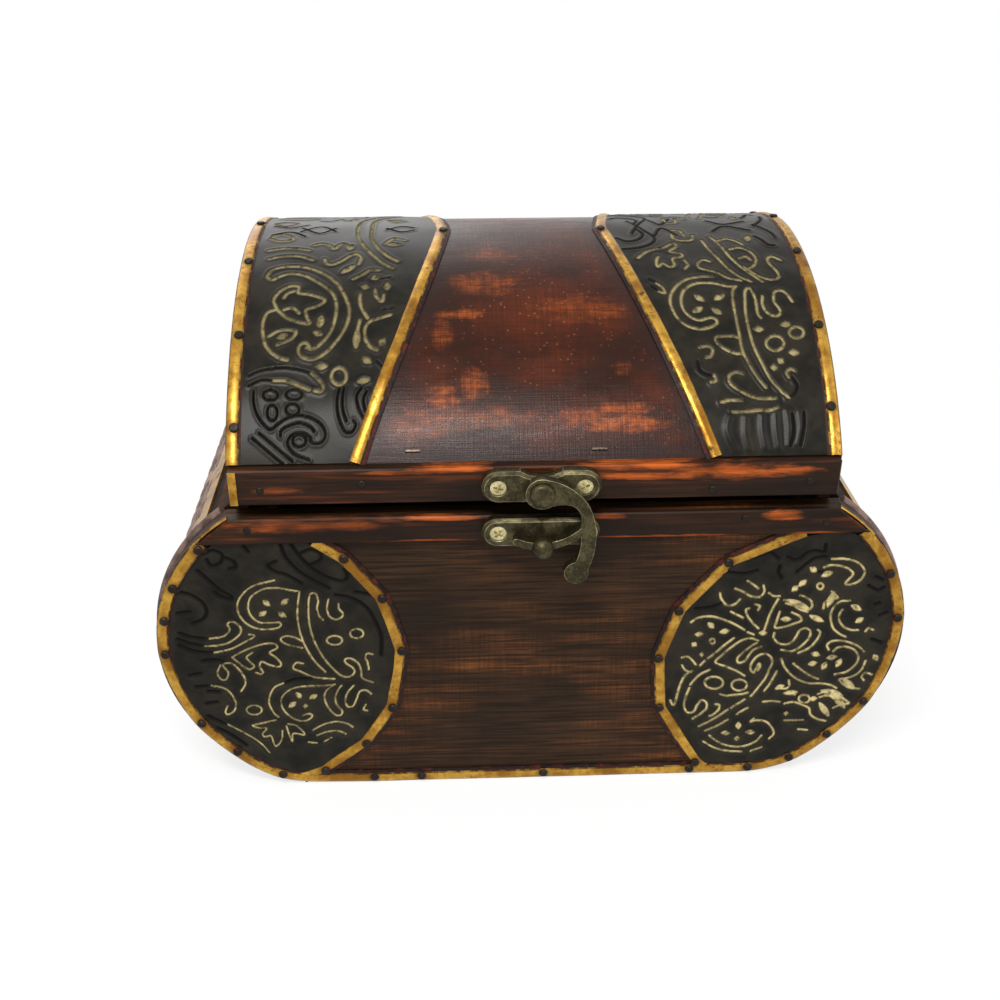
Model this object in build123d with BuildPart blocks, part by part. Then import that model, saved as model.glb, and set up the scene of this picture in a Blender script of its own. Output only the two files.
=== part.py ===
"""Keepsake box: bulging body with woven ends, barrel lid on two hinges, swing hook latch."""

import os
from math import asin, cos, degrees, radians, sin, sqrt

from build123d import *

os.makedirs("parts", exist_ok=True)

# Frame: X to the right, Y to the back, Z up, origin at the middle of the base.
# Lengths are in millimetres and angles in degrees.

# Body
body_width = 190.0  # over the cane rolls, at the widest height
box_depth = 140.0  # over the outer faces of the front and back boards
rim_height = 81.4
widest_height_share = 0.5405  # of the rim's height
bulge_overhang = 20.4  # of the boards' widest points past the rim's ends
foot_radius = 28.0  # where each end turns under into the flat base
lower_slope = 45.0  # of the straight stretch between bulge and foot
board_thickness = 4.0
floor_thickness = 4.0
cane_diameter = 3.0
cane_proud = 1.0  # how far a cane roll stands outside the boards
cane_end_angle = 66.0  # how far round the foot a roll goes, below the level
weave_inset = 0.3  # of the woven end inside the boards' outline
weave_thickness = 2.6
liner_thickness = 1.2
seat_gap = 0.1  # between bent pieces that lie against each other
side_rail_height = 6.0
side_rail_width = 11.6  # from the rim's edge inwards
side_rail_tongue = 5.5  # width of the part that reaches the boards
rail_height = 6.8
rail_proud = 1.6  # of the boards
rail_end_margin = 0.8  # of outline trim left outside the rail's ends
rail_edge = 0.35  # worn chamfer
side_strip_width = 3.6
side_strip_thickness = 0.6

# Lid
overall_height = 130.0
lid_end_step = 1.3  # of each end of the lid, in from the rim
lid_gap = 3.8  # between the rim and the lid's rails
lid_rail_height = 9.0
lid_rail_thickness = 3.1
lid_rail_setback = 0.7  # of its ends from the ends of the dome
sheet_thickness = 2.0
end_board_thickness = 3.0
end_board_setback = 0.8
rest_gap = 0.3  # between the end boards and the side rails
waist_width = 42.0  # of the bare wood at the top of the dome
waist_middle_width = 58.0
waist_front_width = 84.0
waist_middle_reach = 39.0  # from the top of the dome to the middle width

# Leather and brass strips
leather_thickness = 0.6
trim_width = 3.8
trim_thickness = 1.0
lid_trim_width = 4.0
patch_inset = 20.5  # of the middle of the round edge in from the boards' widest points
left_patch_radius_share = 0.495  # of the rim's height
right_patch_radius_share = 0.516
left_patch_rise = 5.9  # of the top of the round edge's middle line above the rail's lower edge
right_patch_rise = 1.1
butt_gap = 0.05  # between pieces laid edge to edge

# Nails and brads
nail_head_radius = 1.15
nail_head_height = 0.55
nail_head_edge = 0.3
nail_shank_radius = 0.45
nail_length = 2.8
brad_head_radius = 0.9
brad_head_height = 0.3
brad_head_edge = 0.15
brad_shank_radius = 0.4
brad_length = 3.6
left_outline_nail_shares = (0.014, 0.1, 0.166, 0.232, 0.385, 0.469, 0.561, 0.722, 0.805)
right_outline_nail_shares = (0.1, 0.191, 0.37, 0.46, 0.54, 0.615, 0.72, 0.98)
left_patch_nail_shares = (0.09, 0.259, 0.449, 0.659, 0.818, 0.983)
right_patch_nail_shares = (0.206, 0.408, 0.576, 0.753, 0.996)
left_lid_nail_shares = (-0.89, -0.585, -0.25, 0.075, 0.445, 0.78)
right_lid_nail_shares = (-0.853, -0.575, -0.223, 0.111, 0.408, 0.816)
waist_nail_share = -0.028
front_body_brad_shares = ((-0.93, 0.57), (0.68, 0.7), (0.95, 0.48))
back_body_brad_shares = ((-0.94, 0.5), (0.0, 0.55), (0.93, 0.52))
front_lid_brad_shares = ((-0.9, 0.43), (-0.57, 0.58), (0.58, 0.24), (0.9, 0.43))
back_lid_brad_shares = ((-0.9, 0.5), (0.02, 0.55), (0.91, 0.48))

# Latch
latch_x = 0.9
latch_plate_lift = 0.4  # of the lid's plate above its pivot
plate_length = 28.0
keeper_plate_width = 7.6
latch_plate_width = 8.2
plate_thickness = 3.0
plate_edge = 0.7
plate_dip = 1.5  # in the top edge of the lid's plate
plate_dip_radius = 9.0
screw_spacing = 20.2
screw_head_radius = 1.9
screw_head_rim = 0.3
screw_cone_depth = 0.9
screw_shank_radius = 0.95
screw_sink = 0.3  # of the head below the plate's face
screw_tip_cover = 0.7  # of wood left in front of the point
screw_clearance = 0.08
hook_clearance = 0.12  # between plate, hook and rivet head
hook_thickness = 2.4
hook_foot_drop = 9.9  # from the knob down to the lobe at the hook's foot
hook_eye_radius = 3.9
hook_lobe_radius = 2.9
prong_width = 1.8
prong_clearance = 0.15  # under the knob's neck
prong_root_angle = -46.0  # where the prong leaves the hook
prong_tip_angle = -115.0
rivet_head_radius = 2.95
rivet_head_height = 1.5
rivet_head_edge = 1.1
rivet_radius = 1.5
rivet_grip = 2.0  # in the lid's rail
pivot_clearance = 0.05
knob_neck_radius = 1.1
knob_ball_radius = 2.55
knob_ball_gap = 1.83  # between the hook and the ball
knob_tail_length = 2.5
hook_outer_shares = (
    (0.0, 0.178),
    (0.269, 0.088),
    (0.495, -0.134),
    (0.588, -0.44),
    (0.574, -0.764),
    (0.5, -0.99),
)
hook_inner_shares = (
    (0.33, -0.93),
    (0.403, -0.78),
    (0.431, -0.6),
    (0.426, -0.44),
    (0.42, -0.26),
    (0.347, -0.16),
    (0.204, -0.13),
    (0.046, -0.172),
)
hook_lobe_share = (0.389, -0.99)

# Hinges
hinge_inset = 27.6  # of each hinge's middle in from the end of the lid's rail
hinge_width = 18.0
hinge_leaf_height = 6.0
hinge_leaf_thickness = 0.8
hinge_barrel_radius = 1.6
hinge_pin_radius = 0.8
hinge_pin_head_radius = 1.3
hinge_pin_head_height = 0.5
knuckle_gap = 0.15
knuckle_count = 3
hinge_screw_spacing = 11.0
hinge_screw_radius = 0.7
hinge_screw_head_radius = 1.4
hinge_screw_head_height = 0.5
hinge_screw_head_edge = 0.2
hinge_screw_length = 4.2

# Sizes that follow from the values above
half_depth = box_depth / 2
board_reach = body_width / 2 - cane_proud
rim_width = 2 * (board_reach - bulge_overhang)
widest_height = rim_height * widest_height_share
rim_drop = rim_height - widest_height
bulge_radius = (bulge_overhang**2 + rim_drop**2) / (2 * bulge_overhang)
bulge_x = board_reach - bulge_radius
slope_sin = sin(radians(lower_slope))
slope_cos = cos(radians(lower_slope))
radius_step = bulge_radius - foot_radius
foot_x = bulge_x + (radius_step - (widest_height - foot_radius) * slope_sin) / slope_cos
rail_bottom = rim_height - rail_height
left_patch_radius = rim_height * left_patch_radius_share
right_patch_radius = rim_height * right_patch_radius_share
left_patch_height = rail_bottom + left_patch_rise - left_patch_radius
right_patch_height = rail_bottom + right_patch_rise - right_patch_radius
rail_face = half_depth + rail_proud
side_rail_inside = rim_width / 2 - side_rail_width
inner_depth = box_depth - 2 * board_thickness
weave_depth = inner_depth - 2 * cane_diameter - 4 * seat_gap
weave_top = rim_height - side_rail_height
lid_base = rim_height + lid_gap
lid_rail_top = lid_base + lid_rail_height
lid_depth = 2 * (rail_face - lid_rail_thickness)
lid_length = rim_width - 2 * lid_end_step
lid_rail_length = lid_length - 2 * lid_rail_setback
dome_top = overall_height - trim_thickness
dome_rise = dome_top - lid_rail_top
dome_radius = ((lid_depth / 2) ** 2 + dome_rise**2) / (2 * dome_rise)
dome_centre = dome_top - dome_radius
dome_edge_angle = degrees(asin(lid_depth / 2 / dome_radius))
plate_face = rail_face + plate_thickness
knob_height = rail_bottom + rail_height / 2
pivot_height = lid_base + lid_rail_height / 2
latch_plate_height = pivot_height + latch_plate_lift
knob_distance = pivot_height - knob_height
hook_span = knob_distance + hook_foot_drop
hook_back = plate_face + hook_clearance
hinge_axis_y = rail_face + hinge_barrel_radius
hinge_axis_z = rim_height + lid_gap / 2
leaf_start = hinge_barrel_radius + knuckle_gap

outward = Plane.XZ
board_face = outward.offset(half_depth)
board_inside = outward.offset(inner_depth / 2)
back_outward = Plane(origin=(0, 0, 0), x_dir=(-1, 0, 0), z_dir=(0, 1, 0))
sides = {"left": -1, "right": 1}


def finish(piece, name):
    """Name a finished piece and write it."""
    piece.part.label = name
    export_step(piece.part, f"parts/{name}.step")


def finish_pair(piece, name, other_name, plane):
    """Write a piece and its mirror image across a plane."""
    finish(piece, name)
    with BuildPart() as other:
        add(piece.part)
        mirror(about=plane, mode=Mode.REPLACE)
    finish(other, other_name)


# Outlines


def bulge_reach(height, inset):
    """Distance from the middle of the box to the bulging end at a height."""
    return bulge_x + sqrt((bulge_radius - inset) ** 2 - (height - widest_height) ** 2)


def level_angle(height, inset):
    """Angle of a point of the bulge above the level of its centre."""
    return degrees(asin((height - widest_height) / (bulge_radius - inset)))


def board_area(inset, top):
    """Face of a board, drawn in all round by inset and cut level at top."""
    start = level_angle(top, inset)
    with BuildSketch() as area:
        with BuildLine():
            bulge_centre = (bulge_x, widest_height)
            bulge = CenterArc(bulge_centre, bulge_radius - inset, start, -start - lower_slope)
            foot_centre = (foot_x, foot_radius)
            foot = CenterArc(foot_centre, foot_radius - inset, -90, 90 - lower_slope)
            Line(bulge @ 1, foot @ 1)
            Line(foot @ 0, (0, inset))
            Line((0, top), bulge @ 0)
            mirror(about=Plane.YZ)
        make_face()
    return area.sketch


def bent_area(side, outer, inner):
    """Section of a sheet bent round one end, from the base's edge up to the side rail."""
    with BuildSketch() as area:
        add(board_area(outer, weave_top))
        add(board_area(inner, weave_top), mode=Mode.SUBTRACT)
        with Locations((side * (foot_x + body_width / 2), weave_top / 2)):
            Rectangle(body_width, weave_top, mode=Mode.INTERSECT)
    return area.sketch


def rail_area(grow):
    """Face of a rim rail, its ends cut to follow the bulge, grown down and sideways."""
    top_reach = rim_width / 2 - rail_end_margin + grow
    bottom_reach = bulge_reach(rail_bottom, 0) - rail_end_margin + 2 * grow
    with BuildSketch() as area:
        with BuildLine():
            Polyline(
                (0, rail_bottom - grow),
                (bottom_reach, rail_bottom - grow),
                (top_reach, rim_height),
                (0, rim_height),
            )
            mirror(about=Plane.YZ)
        make_face()
    return area.sketch


def patch_circle(centre, radius):
    """The circle that a leather patch of the body is cut from."""
    with BuildSketch() as area:
        with Locations(centre):
            Circle(radius)
    return area.sketch


def patch_edge_angle(height, centre, radius):
    """Angle at which a patch's round edge meets a level, measured at its centre."""
    rise_share = (height - centre[1]) / radius
    return degrees(asin(max(-1, min(1, rise_share))))


def outline_trim_line():
    """Middle of the outline trim on the right, from the rail to the middle of the base."""
    inset = trim_width / 2
    start = level_angle(rail_bottom, inset)
    with BuildLine() as line:
        bulge_centre = (bulge_x, widest_height)
        bulge = CenterArc(bulge_centre, bulge_radius - inset, start, -start - lower_slope)
        foot_centre = (foot_x, foot_radius)
        foot = CenterArc(foot_centre, foot_radius - inset, -lower_slope, lower_slope - 90)
        Line(bulge @ 1, foot @ 0)
        Line(foot @ 1, (0, inset))
    return line.wires()[0]


def dome_area(grow, bottom):
    """Section of the lid across its length: skirts and a round top, cut level at bottom."""
    reach = lid_depth / 2 + grow
    shoulder = dome_centre + sqrt((dome_radius + grow) ** 2 - reach**2)
    with BuildSketch() as area:
        with BuildLine():
            Line((reach, bottom), (reach, shoulder))
            ThreePointArc((reach, shoulder), (0, dome_top + grow), (-reach, shoulder))
            Line((-reach, shoulder), (-reach, bottom))
            Line((-reach, bottom), (reach, bottom))
        make_face()
    return area.sketch


def skin_area(thickness):
    """Section of a skin on the dome, above the lid's rails."""
    with BuildSketch() as area:
        add(dome_area(thickness, lid_base))
        add(dome_area(0, lid_base), mode=Mode.SUBTRACT)
        with Locations((0, lid_base)):
            Rectangle(2 * lid_depth, 2 * (lid_rail_height + butt_gap), mode=Mode.SUBTRACT)
    return area.sketch


def waist_area(shift):
    """The lid's bare middle seen from above, narrowest on the top of the dome."""
    front_y = -lid_depth / 2 - trim_thickness
    with BuildSketch() as area:
        with BuildLine():
            ThreePointArc(
                (waist_front_width / 2 + shift, front_y),
                (waist_middle_width / 2 + shift, -waist_middle_reach),
                (waist_width / 2 + shift, 0),
            )
            Line((0, front_y), (waist_front_width / 2 + shift, front_y))
            mirror(about=Plane.YZ)
            mirror(about=Plane.XZ)
        make_face()
    return area.sketch


# Fasteners

upwards = (Align.CENTER, Align.CENTER, Align.MIN)
downwards = (Align.CENTER, Align.CENTER, Align.MAX)


def headed_pins(plane, places, head, shank):
    """Round heads that stand on a plane, with their shanks below it."""
    head_radius, head_height, head_edge = head
    shank_radius, length = shank
    with BuildPart() as pins:
        with BuildSketch(plane):
            with Locations(*places):
                Circle(head_radius)
        extrude(amount=head_height)
        rims = pins.edges().filter_by(GeomType.CIRCLE)
        chamfer(rims.group_by(Axis(plane.origin, plane.z_dir))[-1], head_edge)
        with BuildSketch(plane):
            with Locations(*places):
                Circle(shank_radius)
        extrude(amount=-length)
    return pins.part


def sunk_screws(plane, places, length, grow):
    """Screws with countersunk heads, their tops on a plane, or the holes for them."""
    cone_top = -screw_head_rim
    shank_top = cone_top - screw_cone_depth
    with BuildPart(plane) as screws:
        for x, y in places:
            with Locations((x, y, 0)):
                Cylinder(screw_head_radius + grow, screw_head_rim, align=downwards)
            with Locations((x, y, cone_top)):
                Cone(
                    screw_shank_radius + grow,
                    screw_head_radius + grow,
                    screw_cone_depth,
                    align=downwards,
                )
            with Locations((x, y, shank_top)):
                Cylinder(screw_shank_radius + grow, length + shank_top + grow, align=downwards)
    return screws.part


def screw_holes(plane, places, length):
    """Clearance holes for countersunk screws, open above the sunk heads."""
    with BuildPart() as holes:
        add(sunk_screws(plane, places, length, screw_clearance))
        with BuildSketch(plane):
            with Locations(*places):
                Circle(screw_head_radius + screw_clearance)
        extrude(amount=screw_sink)
    return holes.part


nail_head = (nail_head_radius, nail_head_height, nail_head_edge)
nail_shank = (nail_shank_radius, nail_length)
brad_head = (brad_head_radius, brad_head_height, brad_head_edge)
brad_shank = (brad_shank_radius, brad_length)

# Latch screws and their holes
latch_screw_face = outward.offset(plate_face - screw_sink)
screw_columns = (latch_x - screw_spacing / 2, latch_x + screw_spacing / 2)
keeper_places = [(x, knob_height) for x in screw_columns]
keeper_screw_length = plate_face - screw_sink - inner_depth / 2 - screw_tip_cover
latch_places = [(x, latch_plate_height) for x in screw_columns]
skirt_inside = lid_depth / 2 - sheet_thickness
latch_screw_length = plate_face - screw_sink - skirt_inside - screw_tip_cover
keeper_holes = screw_holes(latch_screw_face, keeper_places, keeper_screw_length)
latch_holes = screw_holes(latch_screw_face, latch_places, latch_screw_length)

with BuildPart() as keeper_screws:
    add(sunk_screws(latch_screw_face, keeper_places, keeper_screw_length, 0))
finish(keeper_screws, "keeper_screws")

with BuildPart() as latch_screws:
    add(sunk_screws(latch_screw_face, latch_places, latch_screw_length, 0))
finish(latch_screws, "latch_screws")

# Hinge screws and their holes
hinge_screw_face = back_outward.offset(rail_face + hinge_leaf_thickness)
hinge_offset = lid_rail_length / 2 - hinge_inset
hinge_columns = [
    side * hinge_offset + end * hinge_screw_spacing / 2 for side in (-1, 1) for end in (-1, 1)
]
leaf_middle = leaf_start + hinge_leaf_height / 2
lower_places = [(x, hinge_axis_z - leaf_middle) for x in hinge_columns]
upper_places = [(x, hinge_axis_z + leaf_middle) for x in hinge_columns]
hinge_head = (hinge_screw_head_radius, hinge_screw_head_height, hinge_screw_head_edge)


def hinge_holes(places):
    """Clearance holes for hinge screws."""
    with BuildPart() as holes:
        with BuildSketch(hinge_screw_face):
            with Locations(*places):
                Circle(hinge_screw_radius + screw_clearance)
        extrude(amount=-hinge_screw_length - screw_clearance)
    return holes.part


lower_hinge_holes = hinge_holes(lower_places)
upper_hinge_holes = hinge_holes(upper_places)
hinge_shank = (hinge_screw_radius, hinge_screw_length)

for name, places in (("lower", lower_places), ("upper", upper_places)):
    with BuildPart() as hinge_screws:
        add(headed_pins(hinge_screw_face, places, hinge_head, hinge_shank))
    finish(hinge_screws, f"hinge_screws_{name}")

# Front and back boards
with BuildPart() as front_board:
    with BuildSketch(board_face):
        add(board_area(0, rim_height))
    extrude(amount=-board_thickness)
    add(keeper_holes, mode=Mode.SUBTRACT)
finish(front_board, "front_board")

with BuildPart() as back_board:
    with BuildSketch(back_outward.offset(half_depth)):
        add(board_area(0, rim_height))
    extrude(amount=-board_thickness)
    add(lower_hinge_holes, mode=Mode.SUBTRACT)
finish(back_board, "back_board")

# Rim rails on the boards
with BuildPart() as front_rail:
    with BuildSketch(board_face):
        add(rail_area(0))
    extrude(amount=rail_proud)
    chamfer(front_rail.faces().sort_by(Axis.Y)[0].edges(), rail_edge)
    add(keeper_holes, mode=Mode.SUBTRACT)
finish(front_rail, "front_rail")

with BuildPart() as back_rail:
    with BuildSketch(back_outward.offset(half_depth)):
        add(rail_area(0))
    extrude(amount=rail_proud)
    chamfer(back_rail.faces().sort_by(Axis.Y)[-1].edges(), rail_edge)
    add(lower_hinge_holes, mode=Mode.SUBTRACT)
finish(back_rail, "back_rail")

# Bottom board
with BuildPart() as bottom_board:
    with BuildSketch():
        Rectangle(2 * foot_x, inner_depth)
    extrude(amount=floor_thickness)
finish(bottom_board, "bottom_board")

# Side rails, woven ends, liners, strips and cane rolls
weave_inside = weave_inset + weave_thickness
liner_outside = weave_inside + seat_gap
strip_angle = degrees(side_strip_width / bulge_radius)
strip_start = level_angle(weave_top, weave_inset) - strip_angle / 2
roll_inset = cane_diameter / 2 - cane_proud
roll_y = inner_depth / 2 - seat_gap - cane_diameter / 2
roll_top = rim_height - cane_diameter / 2

with BuildPart() as side_rail:
    with BuildSketch(outward.offset(weave_depth / 2)):
        add(board_area(weave_inset, rim_height))
        with Locations((side_rail_inside, rim_height)):
            Rectangle(
                body_width,
                2 * side_rail_height,
                align=(Align.MIN, Align.CENTER),
                mode=Mode.INTERSECT,
            )
    extrude(amount=-weave_depth)
    with BuildSketch(board_inside):
        with Locations((side_rail_inside, rim_height)):
            Rectangle(side_rail_tongue, side_rail_height, align=(Align.MIN, Align.MAX))
    extrude(amount=-inner_depth)
finish_pair(side_rail, "side_rail_right", "side_rail_left", Plane.YZ)

with BuildPart() as woven_end:
    with BuildSketch(outward.offset(weave_depth / 2)):
        add(bent_area(1, weave_inset, weave_inside))
    extrude(amount=-weave_depth)
finish_pair(woven_end, "woven_end_right", "woven_end_left", Plane.YZ)

with BuildPart() as liner:
    with BuildSketch(board_inside):
        add(bent_area(1, liner_outside, liner_outside + liner_thickness))
    extrude(amount=-inner_depth)
finish_pair(liner, "end_liner_right", "end_liner_left", Plane.YZ)

with BuildPart() as side_strip:
    with BuildSketch(outward.offset(weave_depth / 2)):
        with BuildLine():
            centre = (bulge_x, widest_height)
            weave_radius = bulge_radius - weave_inset
            low_arc = CenterArc(centre, weave_radius, strip_start, strip_angle)
            top_arc = CenterArc(centre, weave_radius + side_strip_thickness, strip_start, strip_angle)
            Line(low_arc @ 0, top_arc @ 0)
            Line(low_arc @ 1, top_arc @ 1)
        make_face()
    extrude(amount=-weave_depth)
finish_pair(side_strip, "side_strip_right", "side_strip_left", Plane.YZ)

for end, roll_plane in (("front", outward.offset(roll_y)), ("back", outward.offset(-roll_y))):
    roll_start = level_angle(roll_top, roll_inset)
    with BuildPart() as cane_roll:
        with BuildLine(roll_plane) as roll_line:
            centre = (bulge_x, widest_height)
            bulge = CenterArc(centre, bulge_radius - roll_inset, roll_start, -roll_start - lower_slope)
            centre = (foot_x, foot_radius)
            turn = lower_slope - cane_end_angle
            foot = CenterArc(centre, foot_radius - roll_inset, -lower_slope, turn)
            Line(bulge @ 1, foot @ 0)
        roll_path = roll_line.wires()[0]
        with BuildSketch(Plane(origin=bulge @ 0, z_dir=bulge % 0)):
            Circle(cane_diameter / 2)
        sweep(path=roll_path)
    finish_pair(cane_roll, f"cane_roll_{end}_right", f"cane_roll_{end}_left", Plane.YZ)

# Leather patches and trims of the boards
below_rail = rail_bottom - butt_gap
inside_outline = trim_width + butt_gap
left_patch = ("left", -1, left_patch_height, left_patch_radius, left_patch_nail_shares)
right_patch = ("right", 1, right_patch_height, right_patch_radius, right_patch_nail_shares)
nail_places = []

for side, sign, height, radius, nail_shares in (left_patch, right_patch):
    centre = (sign * (board_reach - patch_inset), height)
    with BuildPart() as leather:
        with BuildSketch(board_face):
            add(board_area(inside_outline, below_rail))
            add(patch_circle(centre, radius - trim_width / 2 - butt_gap), mode=Mode.INTERSECT)
        extrude(amount=leather_thickness)
    finish_pair(leather, f"front_leather_{side}", f"back_leather_{side}", Plane.XZ)

    with BuildPart() as patch_trim:
        with BuildSketch(board_face):
            add(patch_circle(centre, radius + trim_width / 2))
            add(patch_circle(centre, radius - trim_width / 2), mode=Mode.SUBTRACT)
            add(board_area(inside_outline, below_rail), mode=Mode.INTERSECT)
        extrude(amount=trim_thickness)
    finish_pair(patch_trim, f"front_patch_trim_{side}", f"back_patch_trim_{side}", Plane.XZ)

    top_angle = patch_edge_angle(below_rail, centre, radius)
    bottom_angle = patch_edge_angle(inside_outline, centre, radius)
    for share in nail_shares:
        angle = radians(top_angle + share * (bottom_angle - top_angle))
        nail_places.append((centre[0] - sign * radius * cos(angle), height + radius * sin(angle)))

with BuildPart() as outline_trim:
    with BuildSketch(board_face):
        add(board_area(0, rim_height))
        add(board_area(trim_width, rail_bottom), mode=Mode.SUBTRACT)
        add(rail_area(butt_gap), mode=Mode.SUBTRACT)
    extrude(amount=trim_thickness)
finish_pair(outline_trim, "front_outline_trim", "back_outline_trim", Plane.XZ)

# Nails of the boards' trims, and brads of the rails
trim_line = outline_trim_line()
for share in right_outline_nail_shares:
    point = trim_line @ share
    nail_places.append((point.X, point.Y))
for share in left_outline_nail_shares:
    point = trim_line @ share
    nail_places.append((-point.X, point.Y))

with BuildPart() as trim_nails:
    add(headed_pins(board_face.offset(trim_thickness), nail_places, nail_head, nail_shank))
finish_pair(trim_nails, "front_trim_nails", "back_trim_nails", Plane.XZ)

for end, rail_plane, shares in (
    ("front", outward, front_body_brad_shares),
    ("back", back_outward, back_body_brad_shares),
):
    places = [(x * rim_width / 2, rail_bottom + z * rail_height) for x, z in shares]
    with BuildPart() as rail_brads:
        add(headed_pins(rail_plane.offset(rail_face), places, brad_head, brad_shank))
    finish(rail_brads, f"{end}_rail_brads")

# Dome sheet and end boards of the lid
with BuildPart() as lid_dome:
    with BuildSketch(Plane.YZ.offset(-lid_length / 2)):
        add(dome_area(0, lid_base))
        add(dome_area(-sheet_thickness, lid_base), mode=Mode.SUBTRACT)
    extrude(amount=lid_length)
    add(latch_holes, mode=Mode.SUBTRACT)
    add(upper_hinge_holes, mode=Mode.SUBTRACT)
finish(lid_dome, "lid_dome")

with BuildPart() as lid_end:
    with BuildSketch(Plane.YZ.offset(lid_length / 2 - end_board_setback)):
        add(dome_area(-sheet_thickness - butt_gap, rim_height + rest_gap))
    extrude(amount=-end_board_thickness)
finish_pair(lid_end, "lid_end_right", "lid_end_left", Plane.YZ)

# Rails of the lid
rivet_hole_depth = rivet_grip + pivot_clearance
pivot_axis = (latch_x, pivot_height)

with BuildPart() as lid_front_rail:
    with BuildSketch(outward.offset(lid_depth / 2)):
        with Locations((0, lid_base)):
            Rectangle(lid_rail_length, lid_rail_height, align=(Align.CENTER, Align.MIN))
    extrude(amount=lid_rail_thickness)
    chamfer(lid_front_rail.faces().sort_by(Axis.Y)[0].edges(), rail_edge)
    add(latch_holes, mode=Mode.SUBTRACT)
    with BuildSketch(outward.offset(rail_face)):
        with Locations(pivot_axis):
            Circle(rivet_radius + pivot_clearance)
    extrude(amount=-rivet_hole_depth, mode=Mode.SUBTRACT)
finish(lid_front_rail, "lid_front_rail")

with BuildPart() as lid_back_rail:
    with BuildSketch(back_outward.offset(lid_depth / 2)):
        with Locations((0, lid_base)):
            Rectangle(lid_rail_length, lid_rail_height, align=(Align.CENTER, Align.MIN))
    extrude(amount=lid_rail_thickness)
    chamfer(lid_back_rail.faces().sort_by(Axis.Y)[-1].edges(), rail_edge)
    add(upper_hinge_holes, mode=Mode.SUBTRACT)
finish(lid_back_rail, "lid_back_rail")

# Leather and trims of the lid
patch_end = lid_length / 2 - lid_trim_width - butt_gap
prism_height = overall_height + trim_thickness

with BuildPart() as lid_leather:
    with BuildSketch(Plane.YZ):
        add(skin_area(leather_thickness))
    extrude(amount=patch_end)
    with BuildSketch():
        add(waist_area(lid_trim_width / 2 + butt_gap))
    extrude(amount=prism_height, mode=Mode.SUBTRACT)
finish_pair(lid_leather, "lid_leather_right", "lid_leather_left", Plane.YZ)

with BuildPart() as waist_trim:
    with BuildSketch(Plane.YZ):
        add(skin_area(trim_thickness))
    extrude(amount=patch_end)
    with BuildSketch():
        add(waist_area(-lid_trim_width / 2))
    extrude(amount=prism_height, mode=Mode.SUBTRACT)
    with BuildSketch():
        add(waist_area(lid_trim_width / 2))
    extrude(amount=prism_height, mode=Mode.INTERSECT)
finish_pair(waist_trim, "lid_waist_trim_right", "lid_waist_trim_left", Plane.YZ)

with BuildPart() as lid_end_trim:
    with BuildSketch(Plane.YZ.offset(lid_length / 2)):
        add(skin_area(trim_thickness))
    extrude(amount=-lid_trim_width)
finish_pair(lid_end_trim, "lid_end_trim_right", "lid_end_trim_left", Plane.YZ)


def dome_plane(x, share):
    """Plane on the face of a lid trim, some share of the way from the top to the dome's edge."""
    reach = dome_radius + trim_thickness
    back = sin(radians(share * dome_edge_angle))
    up = cos(radians(share * dome_edge_angle))
    return Plane(origin=(x, reach * back, dome_centre + reach * up), x_dir=(1, 0, 0), z_dir=(0, back, up))


end_trim_middle = lid_length / 2 - lid_trim_width / 2
with BuildPart() as lid_nails:
    for share in left_lid_nail_shares:
        add(headed_pins(dome_plane(-end_trim_middle, share), [(0, 0)], nail_head, nail_shank))
    for share in right_lid_nail_shares:
        add(headed_pins(dome_plane(end_trim_middle, share), [(0, 0)], nail_head, nail_shank))
    for x in (-waist_width / 2, waist_width / 2):
        add(headed_pins(dome_plane(x, waist_nail_share), [(0, 0)], nail_head, nail_shank))
finish(lid_nails, "lid_trim_nails")

with BuildPart() as lid_brads:
    for rail_plane, shares in (
        (outward, front_lid_brad_shares),
        (back_outward, back_lid_brad_shares),
    ):
        places = [(x * lid_rail_length / 2, lid_base + z * lid_rail_height) for x, z in shares]
        add(headed_pins(rail_plane.offset(rail_face), places, brad_head, brad_shank))
finish(lid_brads, "lid_rail_brads")

# Keeper plate and knob on the body
with BuildPart() as keeper_plate:
    with BuildSketch(outward.offset(rail_face)):
        with Locations((latch_x, knob_height)):
            SlotOverall(plate_length, keeper_plate_width)
    extrude(amount=plate_thickness)
    chamfer(keeper_plate.faces().sort_by(Axis.Y)[0].edges(), plate_edge)
    add(keeper_holes, mode=Mode.SUBTRACT)
finish(keeper_plate, "keeper_plate")

knob_foot = Plane(origin=(latch_x, -plate_face, knob_height), x_dir=(1, 0, 0), z_dir=(0, -1, 0))
ball_height = hook_clearance + hook_thickness + knob_ball_gap + knob_ball_radius

with BuildPart(knob_foot) as keeper_knob:
    Cylinder(knob_neck_radius, ball_height, align=upwards)
    Cylinder(knob_neck_radius, knob_tail_length, align=downwards)
    with Locations((0, 0, ball_height)):
        Sphere(knob_ball_radius)
finish(keeper_knob, "keeper_knob")

# Plate, hook and rivet of the lid's latch
with BuildPart() as latch_plate:
    with BuildSketch(outward.offset(rail_face)):
        with Locations((latch_x, latch_plate_height)):
            SlotOverall(plate_length, latch_plate_width)
        dip_height = latch_plate_height + latch_plate_width / 2 + plate_dip_radius - plate_dip
        with Locations((latch_x, dip_height)):
            Circle(plate_dip_radius, mode=Mode.SUBTRACT)
    extrude(amount=plate_thickness)
    chamfer(latch_plate.faces().sort_by(Axis.Y)[0].edges(), plate_edge)
    add(latch_holes, mode=Mode.SUBTRACT)
    with BuildSketch(outward.offset(plate_face)):
        with Locations(pivot_axis):
            Circle(rivet_radius + pivot_clearance)
    extrude(amount=-plate_thickness, mode=Mode.SUBTRACT)
finish(latch_plate, "latch_plate")

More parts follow.
